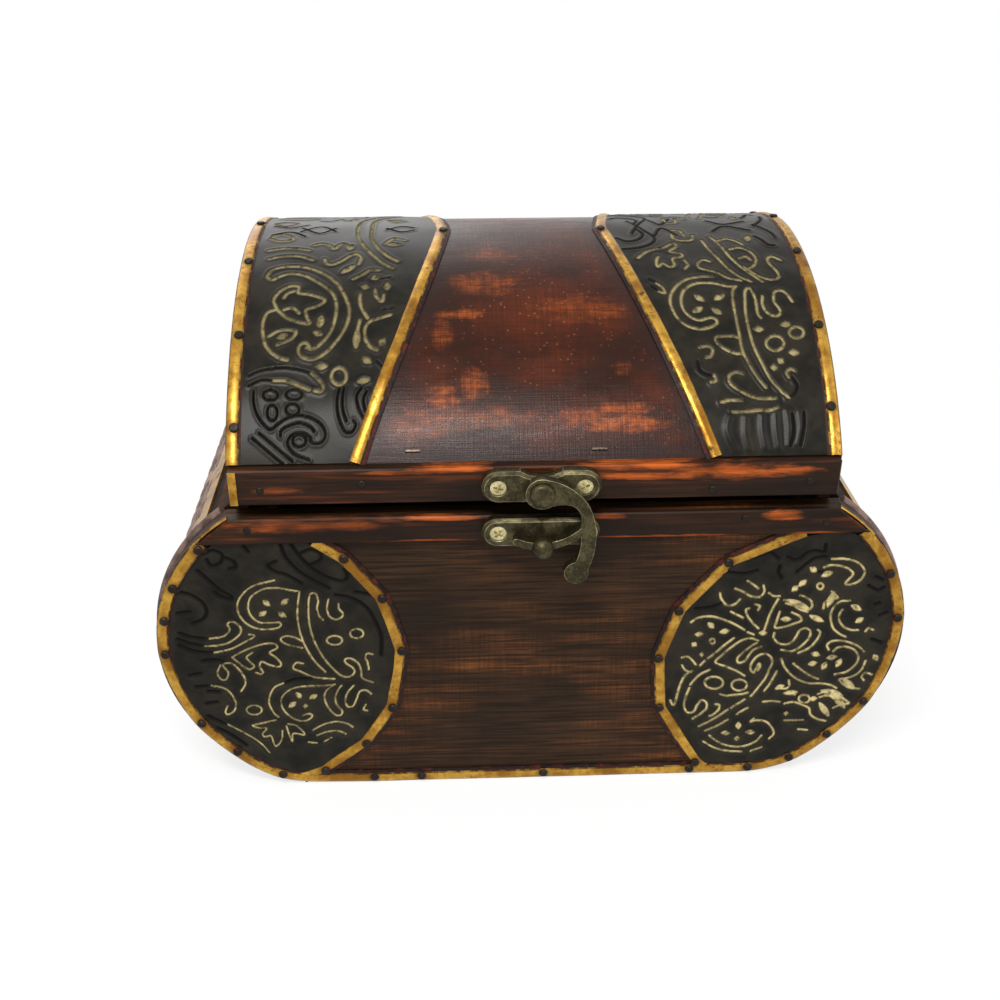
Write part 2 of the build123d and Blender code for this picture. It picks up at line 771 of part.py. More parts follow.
hook_plane = Plane(origin=(latch_x, -hook_back, pivot_height), x_dir=(1, 0, 0), z_dir=(0, -1, 0))
prong_inside = knob_distance + knob_neck_radius + prong_clearance
prong_radius = prong_inside + prong_width / 2
prong_sweep = prong_tip_angle - prong_root_angle

with BuildPart() as swing_hook:
    with BuildSketch(hook_plane):
        with BuildLine():
            outer = Spline(*[(x * hook_span, z * hook_span) for x, z in hook_outer_shares])
            inner = Spline(*[(x * hook_span, z * hook_span) for x, z in hook_inner_shares])
            Line(outer @ 1, inner @ 0)
            Line(inner @ 1, outer @ 0)
        make_face()
        Circle(hook_eye_radius)
        with Locations((hook_lobe_share[0] * hook_span, hook_lobe_share[1] * hook_span)):
            Circle(hook_lobe_radius)
        with BuildLine(mode=Mode.PRIVATE) as prong_line:
            CenterArc((0, 0), prong_radius, prong_root_angle, prong_sweep)
        SlotArc(prong_line.edges()[0], prong_width)
    extrude(amount=hook_thickness)
    with BuildSketch(hook_plane):
        Circle(rivet_radius + pivot_clearance)
    extrude(amount=hook_thickness, mode=Mode.SUBTRACT)
finish(swing_hook, "swing_hook")

head_plane = hook_plane.offset(hook_thickness + hook_clearance)
rivet_length = plate_thickness + rivet_grip + hook_thickness + 2 * hook_clearance

with BuildPart(head_plane) as latch_rivet:
    Cylinder(rivet_head_radius, rivet_head_height, align=upwards)
    fillet(latch_rivet.edges().sort_by(Axis.Y)[0], rivet_head_edge)
    Cylinder(rivet_radius, rivet_length, align=downwards)
finish(latch_rivet, "latch_rivet")

# Hinges
knuckle_pitch = hinge_width / knuckle_count
knuckle_width = knuckle_pitch - knuckle_gap


def hinge_leaf(x, up, knuckles):
    """One leaf, below the axis when up is -1 and above it when up is 1."""
    flat = back_outward.offset(rail_face)
    leaf_height_at = hinge_axis_z + up * leaf_middle
    with BuildPart() as leaf:
        with BuildSketch(flat):
            with Locations((-x, leaf_height_at)):
                Rectangle(hinge_width, hinge_leaf_height)
            for index in knuckles:
                offset_x = (index - (knuckle_count - 1) / 2) * knuckle_pitch
                with Locations((-x - offset_x, hinge_axis_z + up * leaf_start / 2)):
                    Rectangle(knuckle_width, leaf_start)
        extrude(amount=hinge_leaf_thickness)
        for index in knuckles:
            offset_x = (index - (knuckle_count - 1) / 2) * knuckle_pitch
            with BuildSketch(Plane.YZ.offset(x + offset_x - knuckle_width / 2)):
                with Locations((hinge_axis_y, hinge_axis_z)):
                    Circle(hinge_barrel_radius)
            extrude(amount=knuckle_width)
        with BuildSketch(Plane.YZ.offset(x - hinge_width / 2)):
            with Locations((hinge_axis_y, hinge_axis_z)):
                Circle(hinge_pin_radius + pivot_clearance)
        extrude(amount=hinge_width, mode=Mode.SUBTRACT)
        add(lower_hinge_holes if up < 0 else upper_hinge_holes, mode=Mode.SUBTRACT)
    return leaf


pin_reach = hinge_width / 2 + pivot_clearance
for side, sign in sides.items():
    hinge_x = sign * hinge_offset
    finish(hinge_leaf(hinge_x, -1, range(0, knuckle_count, 2)), f"hinge_leaf_lower_{side}")
    finish(hinge_leaf(hinge_x, 1, range(1, knuckle_count, 2)), f"hinge_leaf_upper_{side}")

    with BuildPart() as hinge_pin:
        with BuildSketch(Plane.YZ.offset(hinge_x - pin_reach)):
            with Locations((hinge_axis_y, hinge_axis_z)):
                Circle(hinge_pin_radius)
        extrude(amount=2 * pin_reach)
        for end in (-1, 1):
            with BuildSketch(Plane.YZ.offset(hinge_x + end * pin_reach)):
                with Locations((hinge_axis_y, hinge_axis_z)):
                    Circle(hinge_pin_head_radius)
            extrude(amount=end * hinge_pin_head_height)
    finish(hinge_pin, f"hinge_pin_{side}")
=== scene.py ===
# %% [markdown]
# # A keepsake box with woven ends and a barrel lid
# The box is wood, stained dark, with pressed leather patches held by brass strips. Its ends are
# woven cane bent round the bulge, and a swing hook closes the lid. The measured model comes in
# first, and this script dresses it piece by piece. Everything is in metres, so a millimetre is a
# named value that the sizes below are multiplied by.

# %% Load the measured model
from math import acos, asin, atan2, ceil, cos, pi, radians, sin, sqrt

import bmesh
import bpy
import numpy as np
from mathutils import Matrix, Vector


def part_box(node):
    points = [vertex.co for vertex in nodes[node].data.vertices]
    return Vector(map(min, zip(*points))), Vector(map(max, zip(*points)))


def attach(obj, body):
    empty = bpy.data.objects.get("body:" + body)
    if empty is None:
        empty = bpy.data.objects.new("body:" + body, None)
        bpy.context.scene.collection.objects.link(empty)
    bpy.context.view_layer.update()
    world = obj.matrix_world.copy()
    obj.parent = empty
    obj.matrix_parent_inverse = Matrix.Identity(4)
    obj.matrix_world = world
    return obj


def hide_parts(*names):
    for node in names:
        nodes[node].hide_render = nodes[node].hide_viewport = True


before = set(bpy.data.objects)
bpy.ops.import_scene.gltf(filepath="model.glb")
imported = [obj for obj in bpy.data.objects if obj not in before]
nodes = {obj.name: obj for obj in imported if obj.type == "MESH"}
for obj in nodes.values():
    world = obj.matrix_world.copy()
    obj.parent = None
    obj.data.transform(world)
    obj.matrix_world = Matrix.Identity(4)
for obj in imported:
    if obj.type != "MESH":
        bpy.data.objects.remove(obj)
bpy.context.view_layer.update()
mm = 0.001

# %% [markdown]
# ## Shader maths
# A finish is a node tree, and most of its nodes only add or multiply. Wiring those by hand hides
# the idea, so one small class wraps a socket and lets Python's operators add the Math nodes. Any
# other node comes from one method, which sets the node's settings first and its sockets after.


# %% A socket that takes part in sums
class Signal:
    """One output of a node tree, or the tree alone when it has no socket."""

    def __init__(self, tree, socket=None):
        self.tree = tree
        self.socket = socket

    def node(self, kind, settings, inputs, output=0):
        """Add a node, set it up, fill or link its sockets and return one of its outputs."""
        made = self.tree.nodes.new(kind)
        for name, value in settings.items():
            setattr(made, name, value)
        for name, value in inputs.items():
            if isinstance(value, Signal):
                self.tree.links.new(value.socket, made.inputs[name])
            else:
                made.inputs[name].default_value = value
        return Signal(self.tree, made.outputs[output] if made.outputs else None)

    def maths(self, operation, first, second):
        return self.node("ShaderNodeMath", {"operation": operation}, {0: first, 1: second})

    def __add__(self, other):
        return self.maths("ADD", self, other)

    def __sub__(self, other):
        return self.maths("SUBTRACT", self, other)

    def __rsub__(self, other):
        return self.maths("SUBTRACT", other, self)

    def __mul__(self, other):
        return self.maths("MULTIPLY", self, other)

    __radd__ = __add__
    __rmul__ = __mul__

    def most(self, other):
        return self.maths("MAXIMUM", self, other)

    def least(self, other):
        return self.maths("MINIMUM", self, other)

    def size(self):
        """The number without its sign."""
        return self.maths("ABSOLUTE", self, 0.0)

    def root(self):
        return self.maths("POWER", self, 0.5)

    def wave(self):
        return self.maths("SINE", self, 0.0)

    def rise(self, start, end):
        """Zero below start, one above end, and a smooth step between them."""
        settings = {"interpolation_type": "SMOOTHSTEP"}
        return self.node("ShaderNodeMapRange", settings, {0: self, 1: start, 2: end})


print("a socket can:", [name for name in vars(Signal) if not name.startswith("_")])

# %% [markdown]
# ## Finishes
# Each finish is written as a maker would describe it: a ground colour, what lies over it and
# where it has worn. Patterns read Object coordinates, which are metres here, so a noise of
# 100 per metre has lumps a centimetre across, and stretching it along X turns it into grain.


# %% Helpers for a finish
def paint(red, green, blue):
    """A colour given as it looks on a screen, 0 to 255, as the linear colour of a shader."""
    def linear(level):
        share = level / 255
        return share / 12.92 if share <= 0.04045 else ((share + 0.055) / 1.055) ** 2.4

    return (linear(red), linear(green), linear(blue), 1.0)


def start_finish(name):
    """A new material's empty tree."""
    material = bpy.data.materials.new(name)
    material.use_nodes = True
    material.node_tree.nodes.clear()
    return material, Signal(material.node_tree)


def end_finish(tree, colour, rough, normal, specular, metal=0.0):
    """Close a finish with a Principled shader."""
    inputs = {"Base Color": colour, "Roughness": rough, "Normal": normal, "Metallic": metal}
    inputs["Specular IOR Level"] = specular
    shader = tree.node("ShaderNodeBsdfPrincipled", {}, inputs)
    tree.node("ShaderNodeOutputMaterial", {}, {"Surface": shader})


def object_place(tree):
    """The Object coordinates of a point."""
    return tree.node("ShaderNodeTexCoord", {}, {}, "Object")


def noise(tree, scale, stretch=(1, 1, 1), detail=4.0, roughness=0.55, shift=0.0):
    """Noise on Object coordinates, stretched along the axes whose number is small."""
    inputs = {"Vector": object_place(tree), "Location": (shift, shift, shift), "Scale": stretch}
    mapped = tree.node("ShaderNodeMapping", {}, inputs)
    inputs = {"Vector": mapped, "Scale": scale, "Detail": detail, "Roughness": roughness}
    return tree.node("ShaderNodeTexNoise", {}, inputs)


def blend(tree, factor, ground, over):
    """Mix two colours by a factor; a Mix node's colour sockets can only be told by number."""
    inputs = {0: factor, 6: ground, 7: over}
    return tree.node("ShaderNodeMix", {"data_type": "RGBA"}, inputs, 2)


def bump(tree, height, distance, strength):
    """A normal from a height that runs from 0 to 1, with its depth in metres."""
    inputs = {"Height": height, "Distance": distance, "Strength": strength}
    return tree.node("ShaderNodeBump", {}, inputs)


def spread(tree, name):
    """A number kept on the mesh, such as how much gilding a point of the leather has."""
    return tree.node("ShaderNodeAttribute", {"attribute_name": name}, {}, "Fac")


def axes(tree):
    """The three Object coordinates as numbers."""
    split = tree.node("ShaderNodeSeparateXYZ", {}, {"Vector": object_place(tree)})
    return [Signal(tree.tree, output) for output in split.socket.node.outputs]


def diagonal(first, second):
    """Distance of a point from an axis, when it is known both ways."""
    return (first * first + second * second).root()


print("a grey of 128 on a screen is", round(paint(128, 128, 128)[0], 3), "in a shader")

# %% [markdown]
# ## Stained wood
# The boards are thin plywood with a grain that runs along the box, stained nearly black and then
# rubbed so that a warmer brown shows through in streaks. The rails are as dark, but their edges
# are rubbed down to bare orange wood in a few runs. One recipe makes all three woods: two stains,
# a mask for the rubbed places, and fine grain that also dents the surface. A painted picture
# could carry the wear, but it would have to fit every board. So the rubbed runs are ragged ovals
# whose places, in millimetres, were read off the photograph.

# %% Stained wood
along_x = (0.03, 1, 1)
along_y = (1, 0.03, 1)
raggedness = 5.5
# Squared distance from a run's middle, in half lengths, where it has ended and where it is full
run_ends = 1.9
run_full = -0.5


def rubbed(across, along, places, ragged):
    """One inside soft ragged ovals and zero elsewhere; both coordinates are in millimetres."""
    mask = None
    for middle, height, half_length, half_height, strength in places:
        sideways = across * (1 / half_length) - middle / half_length
        upwards = along * (1 / half_height) - height / half_height
        away = sideways * sideways + upwards * upwards + ragged
        inside = away.rise(run_ends, run_full) * strength
        mask = inside if mask is None else mask.most(inside)
    return mask


def stained_wood(name, dark, warm, bright, rub, gloss, figure, stretch=along_x):
    """Dark stain, warm patches and rubbed streaks; figure is how far the grain shows."""
    material, tree = start_finish(name)
    grain = noise(tree, 1500, stretch, 5.0, 0.6)
    patches = noise(tree, 55, (0.5, 1, 1), 3.0, 0.5).rise(0.36, 0.68)
    colour = blend(tree, patches * (0.35 + 0.65 * grain.rise(0.35, 0.65)), dark, warm)
    colour = blend(tree, rub(tree, grain), colour, bright)
    dark_grain = grain.rise(0.6, 0.36) * (0.6 * figure)
    colour = blend(tree, dark_grain, colour, paint(16, 10, 6))
    rough = gloss + 0.16 * noise(tree, 240, (0.2, 1, 1)).rise(0.3, 0.7)
    normal = bump(tree, grain, 0.05 * mm, 0.6 * figure)
    end_finish(tree, colour, rough, normal, specular=0.1)
    return material


def board_rub(tree, grain):
    """Short warm streaks, with fine scratches across them."""
    scratches = noise(tree, 1500, (1, 0.05, 0.05), 3.0, 0.6)
    streaks = noise(tree, 260, (0.12, 1, 1), 4.0, 0.6).rise(0.44, 0.7)
    clouds = noise(tree, 34, (0.6, 1, 1), 3.0, 0.5, shift=3.1).rise(0.36, 0.66)
    fine = 0.25 + 0.45 * grain.rise(0.35, 0.6) + 0.4 * scratches.rise(0.4, 0.6)
    return (0.15 + 0.85 * streaks) * clouds * fine


# Middle across, height, half length, half height (mm) and strength of each rubbed run
front_runs = (
    (22, 93.7, 14, 0.8, 1.0), (28, 91.3, 15, 1.0, 0.85), (47, 92.0, 15, 1.7, 0.85),
    (-19, 93.7, 9, 0.6, 1.0), (-33, 93.2, 8, 0.5, 0.5), (-60, 89.0, 5, 0.8, 0.35),
    (-64, 79.3, 5.0, 1.0, 0.5), (-54, 79.4, 4.6, 1.0, 0.4), (-44, 80.0, 5.2, 1.0, 0.38),
    (-22, 81.0, 11, 0.6, 0.9), (17, 80.6, 4, 0.7, 0.5), (59, 79.9, 4.6, 1.3, 0.9),
    (-71, 80.0, 4.0, 1.0, 0.45), (-35, 80.6, 3.4, 0.8, 0.4), (-54, 79.7, 20, 1.7, 0.25),
    (-23, 74.8, 11, 0.45, 0.9), (29, 74.8, 15, 0.45, 0.8), (69, 74.8, 6, 0.45, 0.7),
)
# Only the front has these runs: they start and are full this far forwards of the middle, in mm
front_starts = 60
front_full = 66


def rail_rub(tree, grain):
    """Burnt orange runs along the front of the rails, and faint ones elsewhere."""
    across, back, up = axes(tree)
    ragged = raggedness * (noise(tree, 420, (0.25, 1, 1), 5.0, 0.65, shift=1.7) - 0.5)
    runs = rubbed(across * (1 / mm), up * (1 / mm), front_runs, ragged)
    runs = runs * (back * (-1 / mm)).rise(front_starts, front_full)
    faint = noise(tree, 200, (0.08, 1, 0.9), 3.0, 0.55, shift=5.3).rise(0.56, 0.74) * 0.3
    return runs.most(faint) * (0.5 + 0.5 * grain.rise(0.3, 0.6))


def side_rub(tree, grain):
    """Faint runs along the side rails."""
    faint = noise(tree, 200, (0.9, 0.08, 1), 3.0, 0.55, shift=5.3).rise(0.52, 0.72) * 0.4
    return faint * (0.5 + 0.5 * grain.rise(0.3, 0.6))


board_wood = stained_wood(
    "board_wood", paint(37, 26, 16), paint(60, 40, 24), paint(112, 66, 32),
    board_rub, gloss=0.42, figure=1.0,
)
rail_wood = stained_wood(
    "rail_wood", paint(30, 20, 14), paint(56, 34, 21), paint(190, 92, 32),
    rail_rub, gloss=0.34, figure=0.5,
)
# Stained darker than the other rails as painted shade, so the sliver by the cane reads as a gap
side_wood_dark_as_shade = stained_wood(
    "side_wood_dark_as_shade", paint(22, 14, 10), paint(44, 26, 16), paint(160, 76, 28),
    side_rub, gloss=0.66, figure=0.6, stretch=along_y,
)
print("woods:", board_wood.name, rail_wood.name, side_wood_dark_as_shade.name)

# %% [markdown]
# ## The lid's red wood
# The lid's sheet was rubbed harder than the rest. It is mahogany red, hatched with scratches both
# ways as fine as cloth, dusted with pale specks, darker along the brass strips and glowing orange
# in a few rubbed places. Low on the left front the orange is partly a painted sheen. The strips'
# line is nearly a parabola seen from above, so the dark margin follows the same parabola. Places
# are given across and along the curve of the lid.

# %% The lid's curve, and where its wood is rubbed or dark
lid_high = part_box("lid_dome")[1]
lid_depth_half = lid_high.y
dome_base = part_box("lid_front_rail")[1].z
dome_rise = lid_high.z - dome_base
dome_radius = (lid_depth_half**2 + dome_rise**2) / (2 * dome_rise)
dome_centre = lid_high.z - dome_radius
# Half width of the bare middle at the top, and how much wider it is at the front and the back
waist_half = 21 * mm
waist_spread = 21 * mm
# Glows and specks lie in the sheet's outer skin, which starts and is full at these radii
skin_starts = dome_radius - 0.9 * mm
skin_full = dome_radius - 0.4 * mm
# Middle across, way from the top, half length, half width (mm) and strength
# Three runs low on the left front, at -12, -22 and -29 across, are partly painted sheen
rubbed_runs_and_sheen = (
    (20.8, -71.2, 8.5, 1.9, 1.0), (20.5, -67.3, 6.5, 1.6, 0.9), (12, -69.5, 7, 2.2, 0.6),
    (-14.2, -61, 3.2, 4, 0.6), (-21.5, -64.5, 3.6, 3.8, 0.65), (-12, -69, 11, 2.6, 0.45),
    (-17.3, -40.2, 6, 1.5, 0.5), (-21.5, -46, 2.6, 4.2, 0.42), (-11, -29, 8, 4.2, 0.42),
    (-9, -16, 6.5, 3, 0.4), (12.3, -38.6, 10.5, 4.2, 0.35), (21.7, -56.5, 2, 1.8, 0.28),
    (-22, -69.5, 8, 3.2, 0.5), (-29, -70.5, 5, 2.4, 0.35),
)
speck_spacing = 1.7 * mm
speck_reach = 0.2
speck_strength = 0.32
# Where dark margins start and are full, in mm: past the strips, down the front, beside the top
strip_shade = (-7, -1)
skirt_shade = (74, 78)
crown_shade = (14, 4)
print("lid's depth over the sheet:", round(2 * lid_depth_half / mm, 1), "mm")


# %% The lid's red wood
def lid_margin(across, along, back):
    """Dark beside the brass strips and low on the front, and faintly along the top."""
    depth = back * (1 / lid_depth_half)
    reach = across.size() - (waist_half + depth * depth * waist_spread)
    margin = (reach * (1 / mm)).rise(*strip_shade) + (along * -1).rise(*skirt_shade)
    return margin + along.size().rise(*crown_shade) * 0.5


def lid_wood_finish():
    """Red wood, hatched both ways, rubbed orange, partly as painted sheen, and dusted with specks.
    """
    material, tree = start_finish("lid_wood")
    across, back, up = axes(tree)
    height = up - dome_centre
    along = back.maths("ARCTAN2", back, height) * (dome_radius / mm)
    outside = diagonal(back, height).rise(skin_starts, skin_full)
    grain = noise(tree, 2400, (0.03, 1, 1), 4.0, 0.6)
    scratches = noise(tree, 2400, (1, 0.02, 0.02), 4.0, 0.6)
    hatch = grain.rise(0.36, 0.64) * 0.5 + 0.5 * scratches.rise(0.36, 0.64)
    clouds = noise(tree, 48, (0.8, 1, 1), 5.0, 0.65, shift=2.4).rise(0.36, 0.68)
    colour = blend(tree, clouds * (0.3 + 0.7 * hatch), paint(42, 18, 8), paint(86, 34, 9))
    ragged = raggedness * (noise(tree, 300, (0.6, 1, 1), 6.0, 0.75, shift=7.7) - 0.5)
    rub_and_sheen = rubbed(across * (1 / mm), along, rubbed_runs_and_sheen, ragged)
    broken = noise(tree, 700, (0.5, 1, 1), 4.0, 0.6, shift=1.9).rise(0.3, 0.62)
    rub_and_sheen = rub_and_sheen * outside * (0.1 + 0.9 * hatch) * (0.3 + 0.7 * broken)
    # Orange of rubbed wood, which low on the left front is partly a painted sheen
    colour = blend(tree, rub_and_sheen, colour, paint(200, 98, 34))
    inputs = {"Vector": object_place(tree), "Scale": 1 / speck_spacing}
    speck = tree.node("ShaderNodeTexVoronoi", {}, inputs).rise(speck_reach, speck_reach / 2)
    speck = speck * speck_strength * (0.3 + 0.7 * clouds) * outside
    colour = blend(tree, speck, colour, paint(186, 112, 76))
    shade = lid_margin(across, along, back).most(1 - outside).least(1.0)
    colour = blend(tree, shade * 0.8, colour, paint(40, 24, 20))
    rough = 0.22 + 0.12 * noise(tree, 300, (0.3, 1, 1), shift=9.0).rise(0.3, 0.7)
    end_finish(tree, colour, rough, bump(tree, hatch, 0.03 * mm, 0.6), specular=0.15)
    return material


lid_wood = lid_wood_finish()
print("rubbed places on the lid:", len(rubbed_runs_and_sheen))

# %% [markdown]
# ## Leather, brass and the rest
# The leather is black and satin, with gold rubbed into its pressed lines. The lines are real
# grooves in the mesh further down, which also keep two numbers at every point: gilt, how much
# gold it holds, and dip, how much painted shade darkens it in and beside a groove. So
# the gold needs no picture. The brass strips keep numbers of their own: band runs from the gold
# side to the red-brown side, and stain is high beside a nail.


# %% Leather
def leather_finish():
    """Black satin with broken gold in its gilt lines, and painted shade, dark and matt, in its
    grooves.
    """
    material, tree = start_finish("leather")
    pores = noise(tree, 2600, detail=3.0)
    clouds = noise(tree, 150, detail=4.0, shift=1.3)
    breaks = noise(tree, 650, detail=4.0, shift=6.1).rise(0.32, 0.52)
    patches = noise(tree, 210, detail=3.0, shift=2.7).rise(0.36, 0.6)
    gold = spread(tree, "gilt") * (0.3 + 0.7 * breaks) * (0.55 + 0.45 * patches)
    dip = spread(tree, "dip")
    ground = blend(tree, clouds.rise(0.3, 0.7), paint(18, 16, 11), paint(38, 34, 26))
    # Painted shade: the grooves and a band beside them are darkened nearly to black
    ground = blend(tree, dip * 0.95, ground, paint(6, 5, 3))
    colour = blend(tree, gold, ground, paint(208, 190, 136))
    rough = 0.26 + 0.1 * clouds + 0.15 * gold + 0.45 * dip
    end_finish(tree, colour, rough, bump(tree, pores, 0.03 * mm, 0.6), specular=0.12)
    return material


leather = leather_finish()
print("leather:", leather.name)

# %% Brass strips
# Where the middle of the gold side lies, from 0 at the strip's gold edge to 1 at its red edge
gold_middle = 0.37


def brass_finish(name, banded):
    """Old brass; a banded strip has painted rim shade, a red-brown side and nail stains."""
    material, tree = start_finish(name)
    wear = noise(tree, 300, detail=5.0, roughness=0.7)
    clouds = noise(tree, 110, detail=4.0, shift=2.2)
    blotches = noise(tree, 480, detail=4.0, roughness=0.65, shift=5.2).rise(0.44, 0.62)
    gold = blend(tree, clouds.rise(0.34, 0.62), paint(138, 96, 32), paint(196, 152, 64))
    gold = blend(tree, blotches * 0.5, gold, paint(132, 86, 28))
    specks = noise(tree, 1100, detail=4.0, roughness=0.7, shift=4.4).rise(0.56, 0.66)
    grime = noise(tree, 130, detail=4.0, roughness=0.65, shift=8.1).rise(0.5, 0.62)
    dirt_and_rim_shade = (specks * (0.25 + 0.6 * grime)).most(wear.rise(0.54, 0.66) * grime * 0.9)
    if banded:
        band = spread(tree, "band")
        # Painted shade along both rims of the strip, broken up by the wear noise
        rim_shade = (band - gold_middle).size().rise(0.25, 0.35)
        dirt_and_rim_shade = dirt_and_rim_shade.most(spread(tree, "stain") * 0.85)
        dirt_and_rim_shade = dirt_and_rim_shade.most(rim_shade * (0.35 + 0.65 * wear.rise(0.36, 0.56)))
    colour = blend(tree, dirt_and_rim_shade, gold, paint(52, 28, 10))
    dull = dirt_and_rim_shade * 0.6
    if banded:
        edge = (band + 0.06 * (wear - 0.5)).rise(0.72, 0.8)
        red = blend(tree, wear.rise(0.44, 0.68), paint(18, 9, 7), paint(76, 27, 12))
        colour = blend(tree, edge, colour, red)
        dull = dull.most(edge)
    rough = 0.26 + 0.28 * dirt_and_rim_shade + 0.1 * clouds
    normal = bump(tree, clouds + 0.4 * wear, 0.3 * mm, 0.6)
    end_finish(tree, colour, rough, normal, specular=0.2, metal=0.85 - 0.8 * dull)
    return material


brass_trim = brass_finish("brass_trim", banded=True)
plain_brass = brass_finish("plain_brass", banded=False)
print("brass:", brass_trim.name, plain_brass.name)


# %% Nails, latch bronze, screws and hinges
def metal_finish(name, dark, bright, speckle, gloss, metal):
    """Metal that has darkened in patches, and is bright where its edges have worn."""
    material, tree = start_finish(name)
    patches = noise(tree, speckle, detail=4.0, roughness=0.6)
    fine = noise(tree, speckle * 5, detail=3.0, shift=3.3)
    colour = blend(tree, (patches * 0.6 + fine * 0.4).rise(0.38, 0.64), dark, bright)
    worn = spread(tree, "worn") * (0.35 + 0.65 * patches.rise(0.4, 0.6))
    colour = blend(tree, worn, colour, paint(196, 184, 142))
    rough = gloss + 0.16 * (1 - patches.rise(0.35, 0.65))
    end_finish(tree, colour, rough, bump(tree, fine, 0.03 * mm, 0.5), specular=0.3, metal=metal)
    return material


nail_metal = metal_finish(
    "nails", paint(16, 11, 7), paint(40, 29, 16), speckle=500, gloss=0.42, metal=0.4
)
bronze = metal_finish(
    "latch_bronze", paint(50, 46, 31), paint(88, 80, 56), speckle=330, gloss=0.36, metal=0.85
)
screw_brass = metal_finish(
    "screw_brass", paint(176, 164, 118), paint(226, 216, 170), speckle=420, gloss=0.3, metal=0.9
)
hinge_brass = metal_finish(
    "hinge_brass", paint(122, 92, 42), paint(190, 150, 78), speckle=260, gloss=0.34, metal=0.9
)
print("metals:", [item.name for item in (nail_metal, bronze, screw_brass, hinge_brass)])

# %% [markdown]
# ## Cane
# The ends are woven from split cane, flat strips with fine ridges along them, dyed a purple
# brown that has faded unevenly. One picture of cane would repeat from strip to strip, so each
# strip keeps numbers instead: tone, so that neighbours differ, across, from edge to edge, which
# draws the ridges, and under, where it dips behind its neighbours and painted shade darkens it.


# %% Cane
def cane_finish(name, ridge_count):
    """Ridged, unevenly faded cane, with painted shade where it goes under its neighbours."""
    material, tree = start_finish(name)
    clouds = noise(tree, 140, detail=4.0, roughness=0.6)
    ridge = (spread(tree, "across") * (ridge_count * 2 * pi)).wave()
    dark = blend(tree, clouds.rise(0.35, 0.65), paint(72, 52, 45), paint(124, 98, 84))
    fade = (spread(tree, "tone") * 0.8 + 0.25 * clouds).rise(0.3, 0.95)
    colour = blend(tree, fade, dark, paint(184, 156, 132))
    lines = (0.5 - 0.5 * ridge).rise(0.45, 0.95)
    colour = blend(tree, lines * 0.45, colour, paint(52, 37, 32))
    # Painted shade where the strip dips under its neighbours
    under_shade = spread(tree, "under").rise(0.4, 0.95) * 0.85
    colour = blend(tree, under_shade, colour, paint(18, 12, 10))
    normal = bump(tree, 0.5 + 0.5 * ridge, 0.12 * mm, 0.8)
    end_finish(tree, colour, 0.5 + 0.15 * clouds, normal, specular=0.4)
    return material


def plain_finish(name, dark, pale, scale, gloss):
    """A matt finish in two close colours, such as bare cane or a lining."""
    material, tree = start_finish(name)
    clouds = noise(tree, scale, detail=5.0, roughness=0.6)
    colour = blend(tree, clouds.rise(0.35, 0.65), dark, pale)
    normal = bump(tree, noise(tree, scale * 9, detail=3.0, shift=2.0), 0.08 * mm, 0.6)
    end_finish(tree, colour, gloss + 0.15 * clouds, normal, specular=0.35)
    return material


wicker = cane_finish("wicker", ridge_count=4)
cane = plain_finish("cane", paint(58, 42, 38), paint(122, 98, 86), scale=210, gloss=0.5)
liner = plain_finish("liner", paint(22, 15, 13), paint(40, 28, 24), scale=160, gloss=0.7)
print("cane and lining:", wicker.name, cane.name, liner.name)

# %% [markdown]
# ## The camera
# The photograph was taken from in front, a little to the left and well above the rim. The
# camera stands where the photograph's did, found by fitting the box's corners, and its sight
# lines also place the pressed pattern further down: a point of the picture is a line in space,
# and the pattern's point lies where that line meets the leather.

# %% The camera
lens_length = 45
sensor_width = 36
picture_size = 1000
camera_place = Vector((-19.275, -329.238, 226.133)) * mm
camera_right = Vector((0.999175, -0.040607, 0.000940))
camera_up = Vector((0.018611, 0.478265, 0.878018))
camera_ahead = camera_up.cross(camera_right)
focal_pixels = lens_length / sensor_width * picture_size

camera_data = bpy.data.cameras.new("camera")
camera_data.lens = lens_length
camera_data.sensor_width = sensor_width
camera_data.clip_start = 0.01
camera_data.clip_end = 50
camera = bpy.data.objects.new("camera", camera_data)
bpy.context.scene.collection.objects.link(camera)
turn = Matrix((camera_right, camera_up, -camera_ahead)).transposed().to_4x4()
camera.matrix_world = Matrix.Translation(camera_place) @ turn
bpy.context.scene.camera = camera


def sight_line(across, down):
    """Direction from the camera through a point of the picture, in pixels from its top left."""
    sideways = camera_right * (across - picture_size / 2)
    upwards = camera_up * (picture_size / 2 - down)
    return (camera_ahead * focal_pixels + sideways + upwards).normalized()


print("camera looks along", tuple(round(number, 3) for number in camera_ahead))

# %% [markdown]
# ## Light, floor and background
# A studio photograph of a dark glossy thing needs large soft lights, because gloss shows their
# shapes. One hangs high in front and a little to the left, so the lid and the brass shine low on
# the left of their fronts, and two weaker ones fill the right and the back. The white around the
# box is a matter of colour: rays that come straight from the camera meet plain white, and so do
# reflections.


# %% Floor and background
def seen_directly(tree):
    """One for camera rays, reflections and rays through glass, and zero for all others."""
    path = tree.node("ShaderNodeLightPath", {}, {})
    outputs = path.socket.node.outputs
    kinds = ("Is Camera Ray", "Is Glossy Ray", "Is Transmission Ray")
    camera_ray, glossy_ray, through_ray = [Signal(tree.tree, outputs[kind]) for kind in kinds]
    return camera_ray.most(glossy_ray).most(through_ray)


def white_world(fill):
    """A pale even sky that counts as white wherever it is seen."""
    world = bpy.data.worlds.new("studio")
    world.use_nodes = True
    world.node_tree.nodes.clear()
    bpy.context.scene.world = world
    tree = Signal(world.node_tree)
    strength = fill + (1 - fill) * seen_directly(tree)
    sky = tree.node("ShaderNodeBackground", {}, {"Color": (1, 1, 1, 1), "Strength": strength})
    tree.node("ShaderNodeOutputWorld", {}, {"Surface": sky})


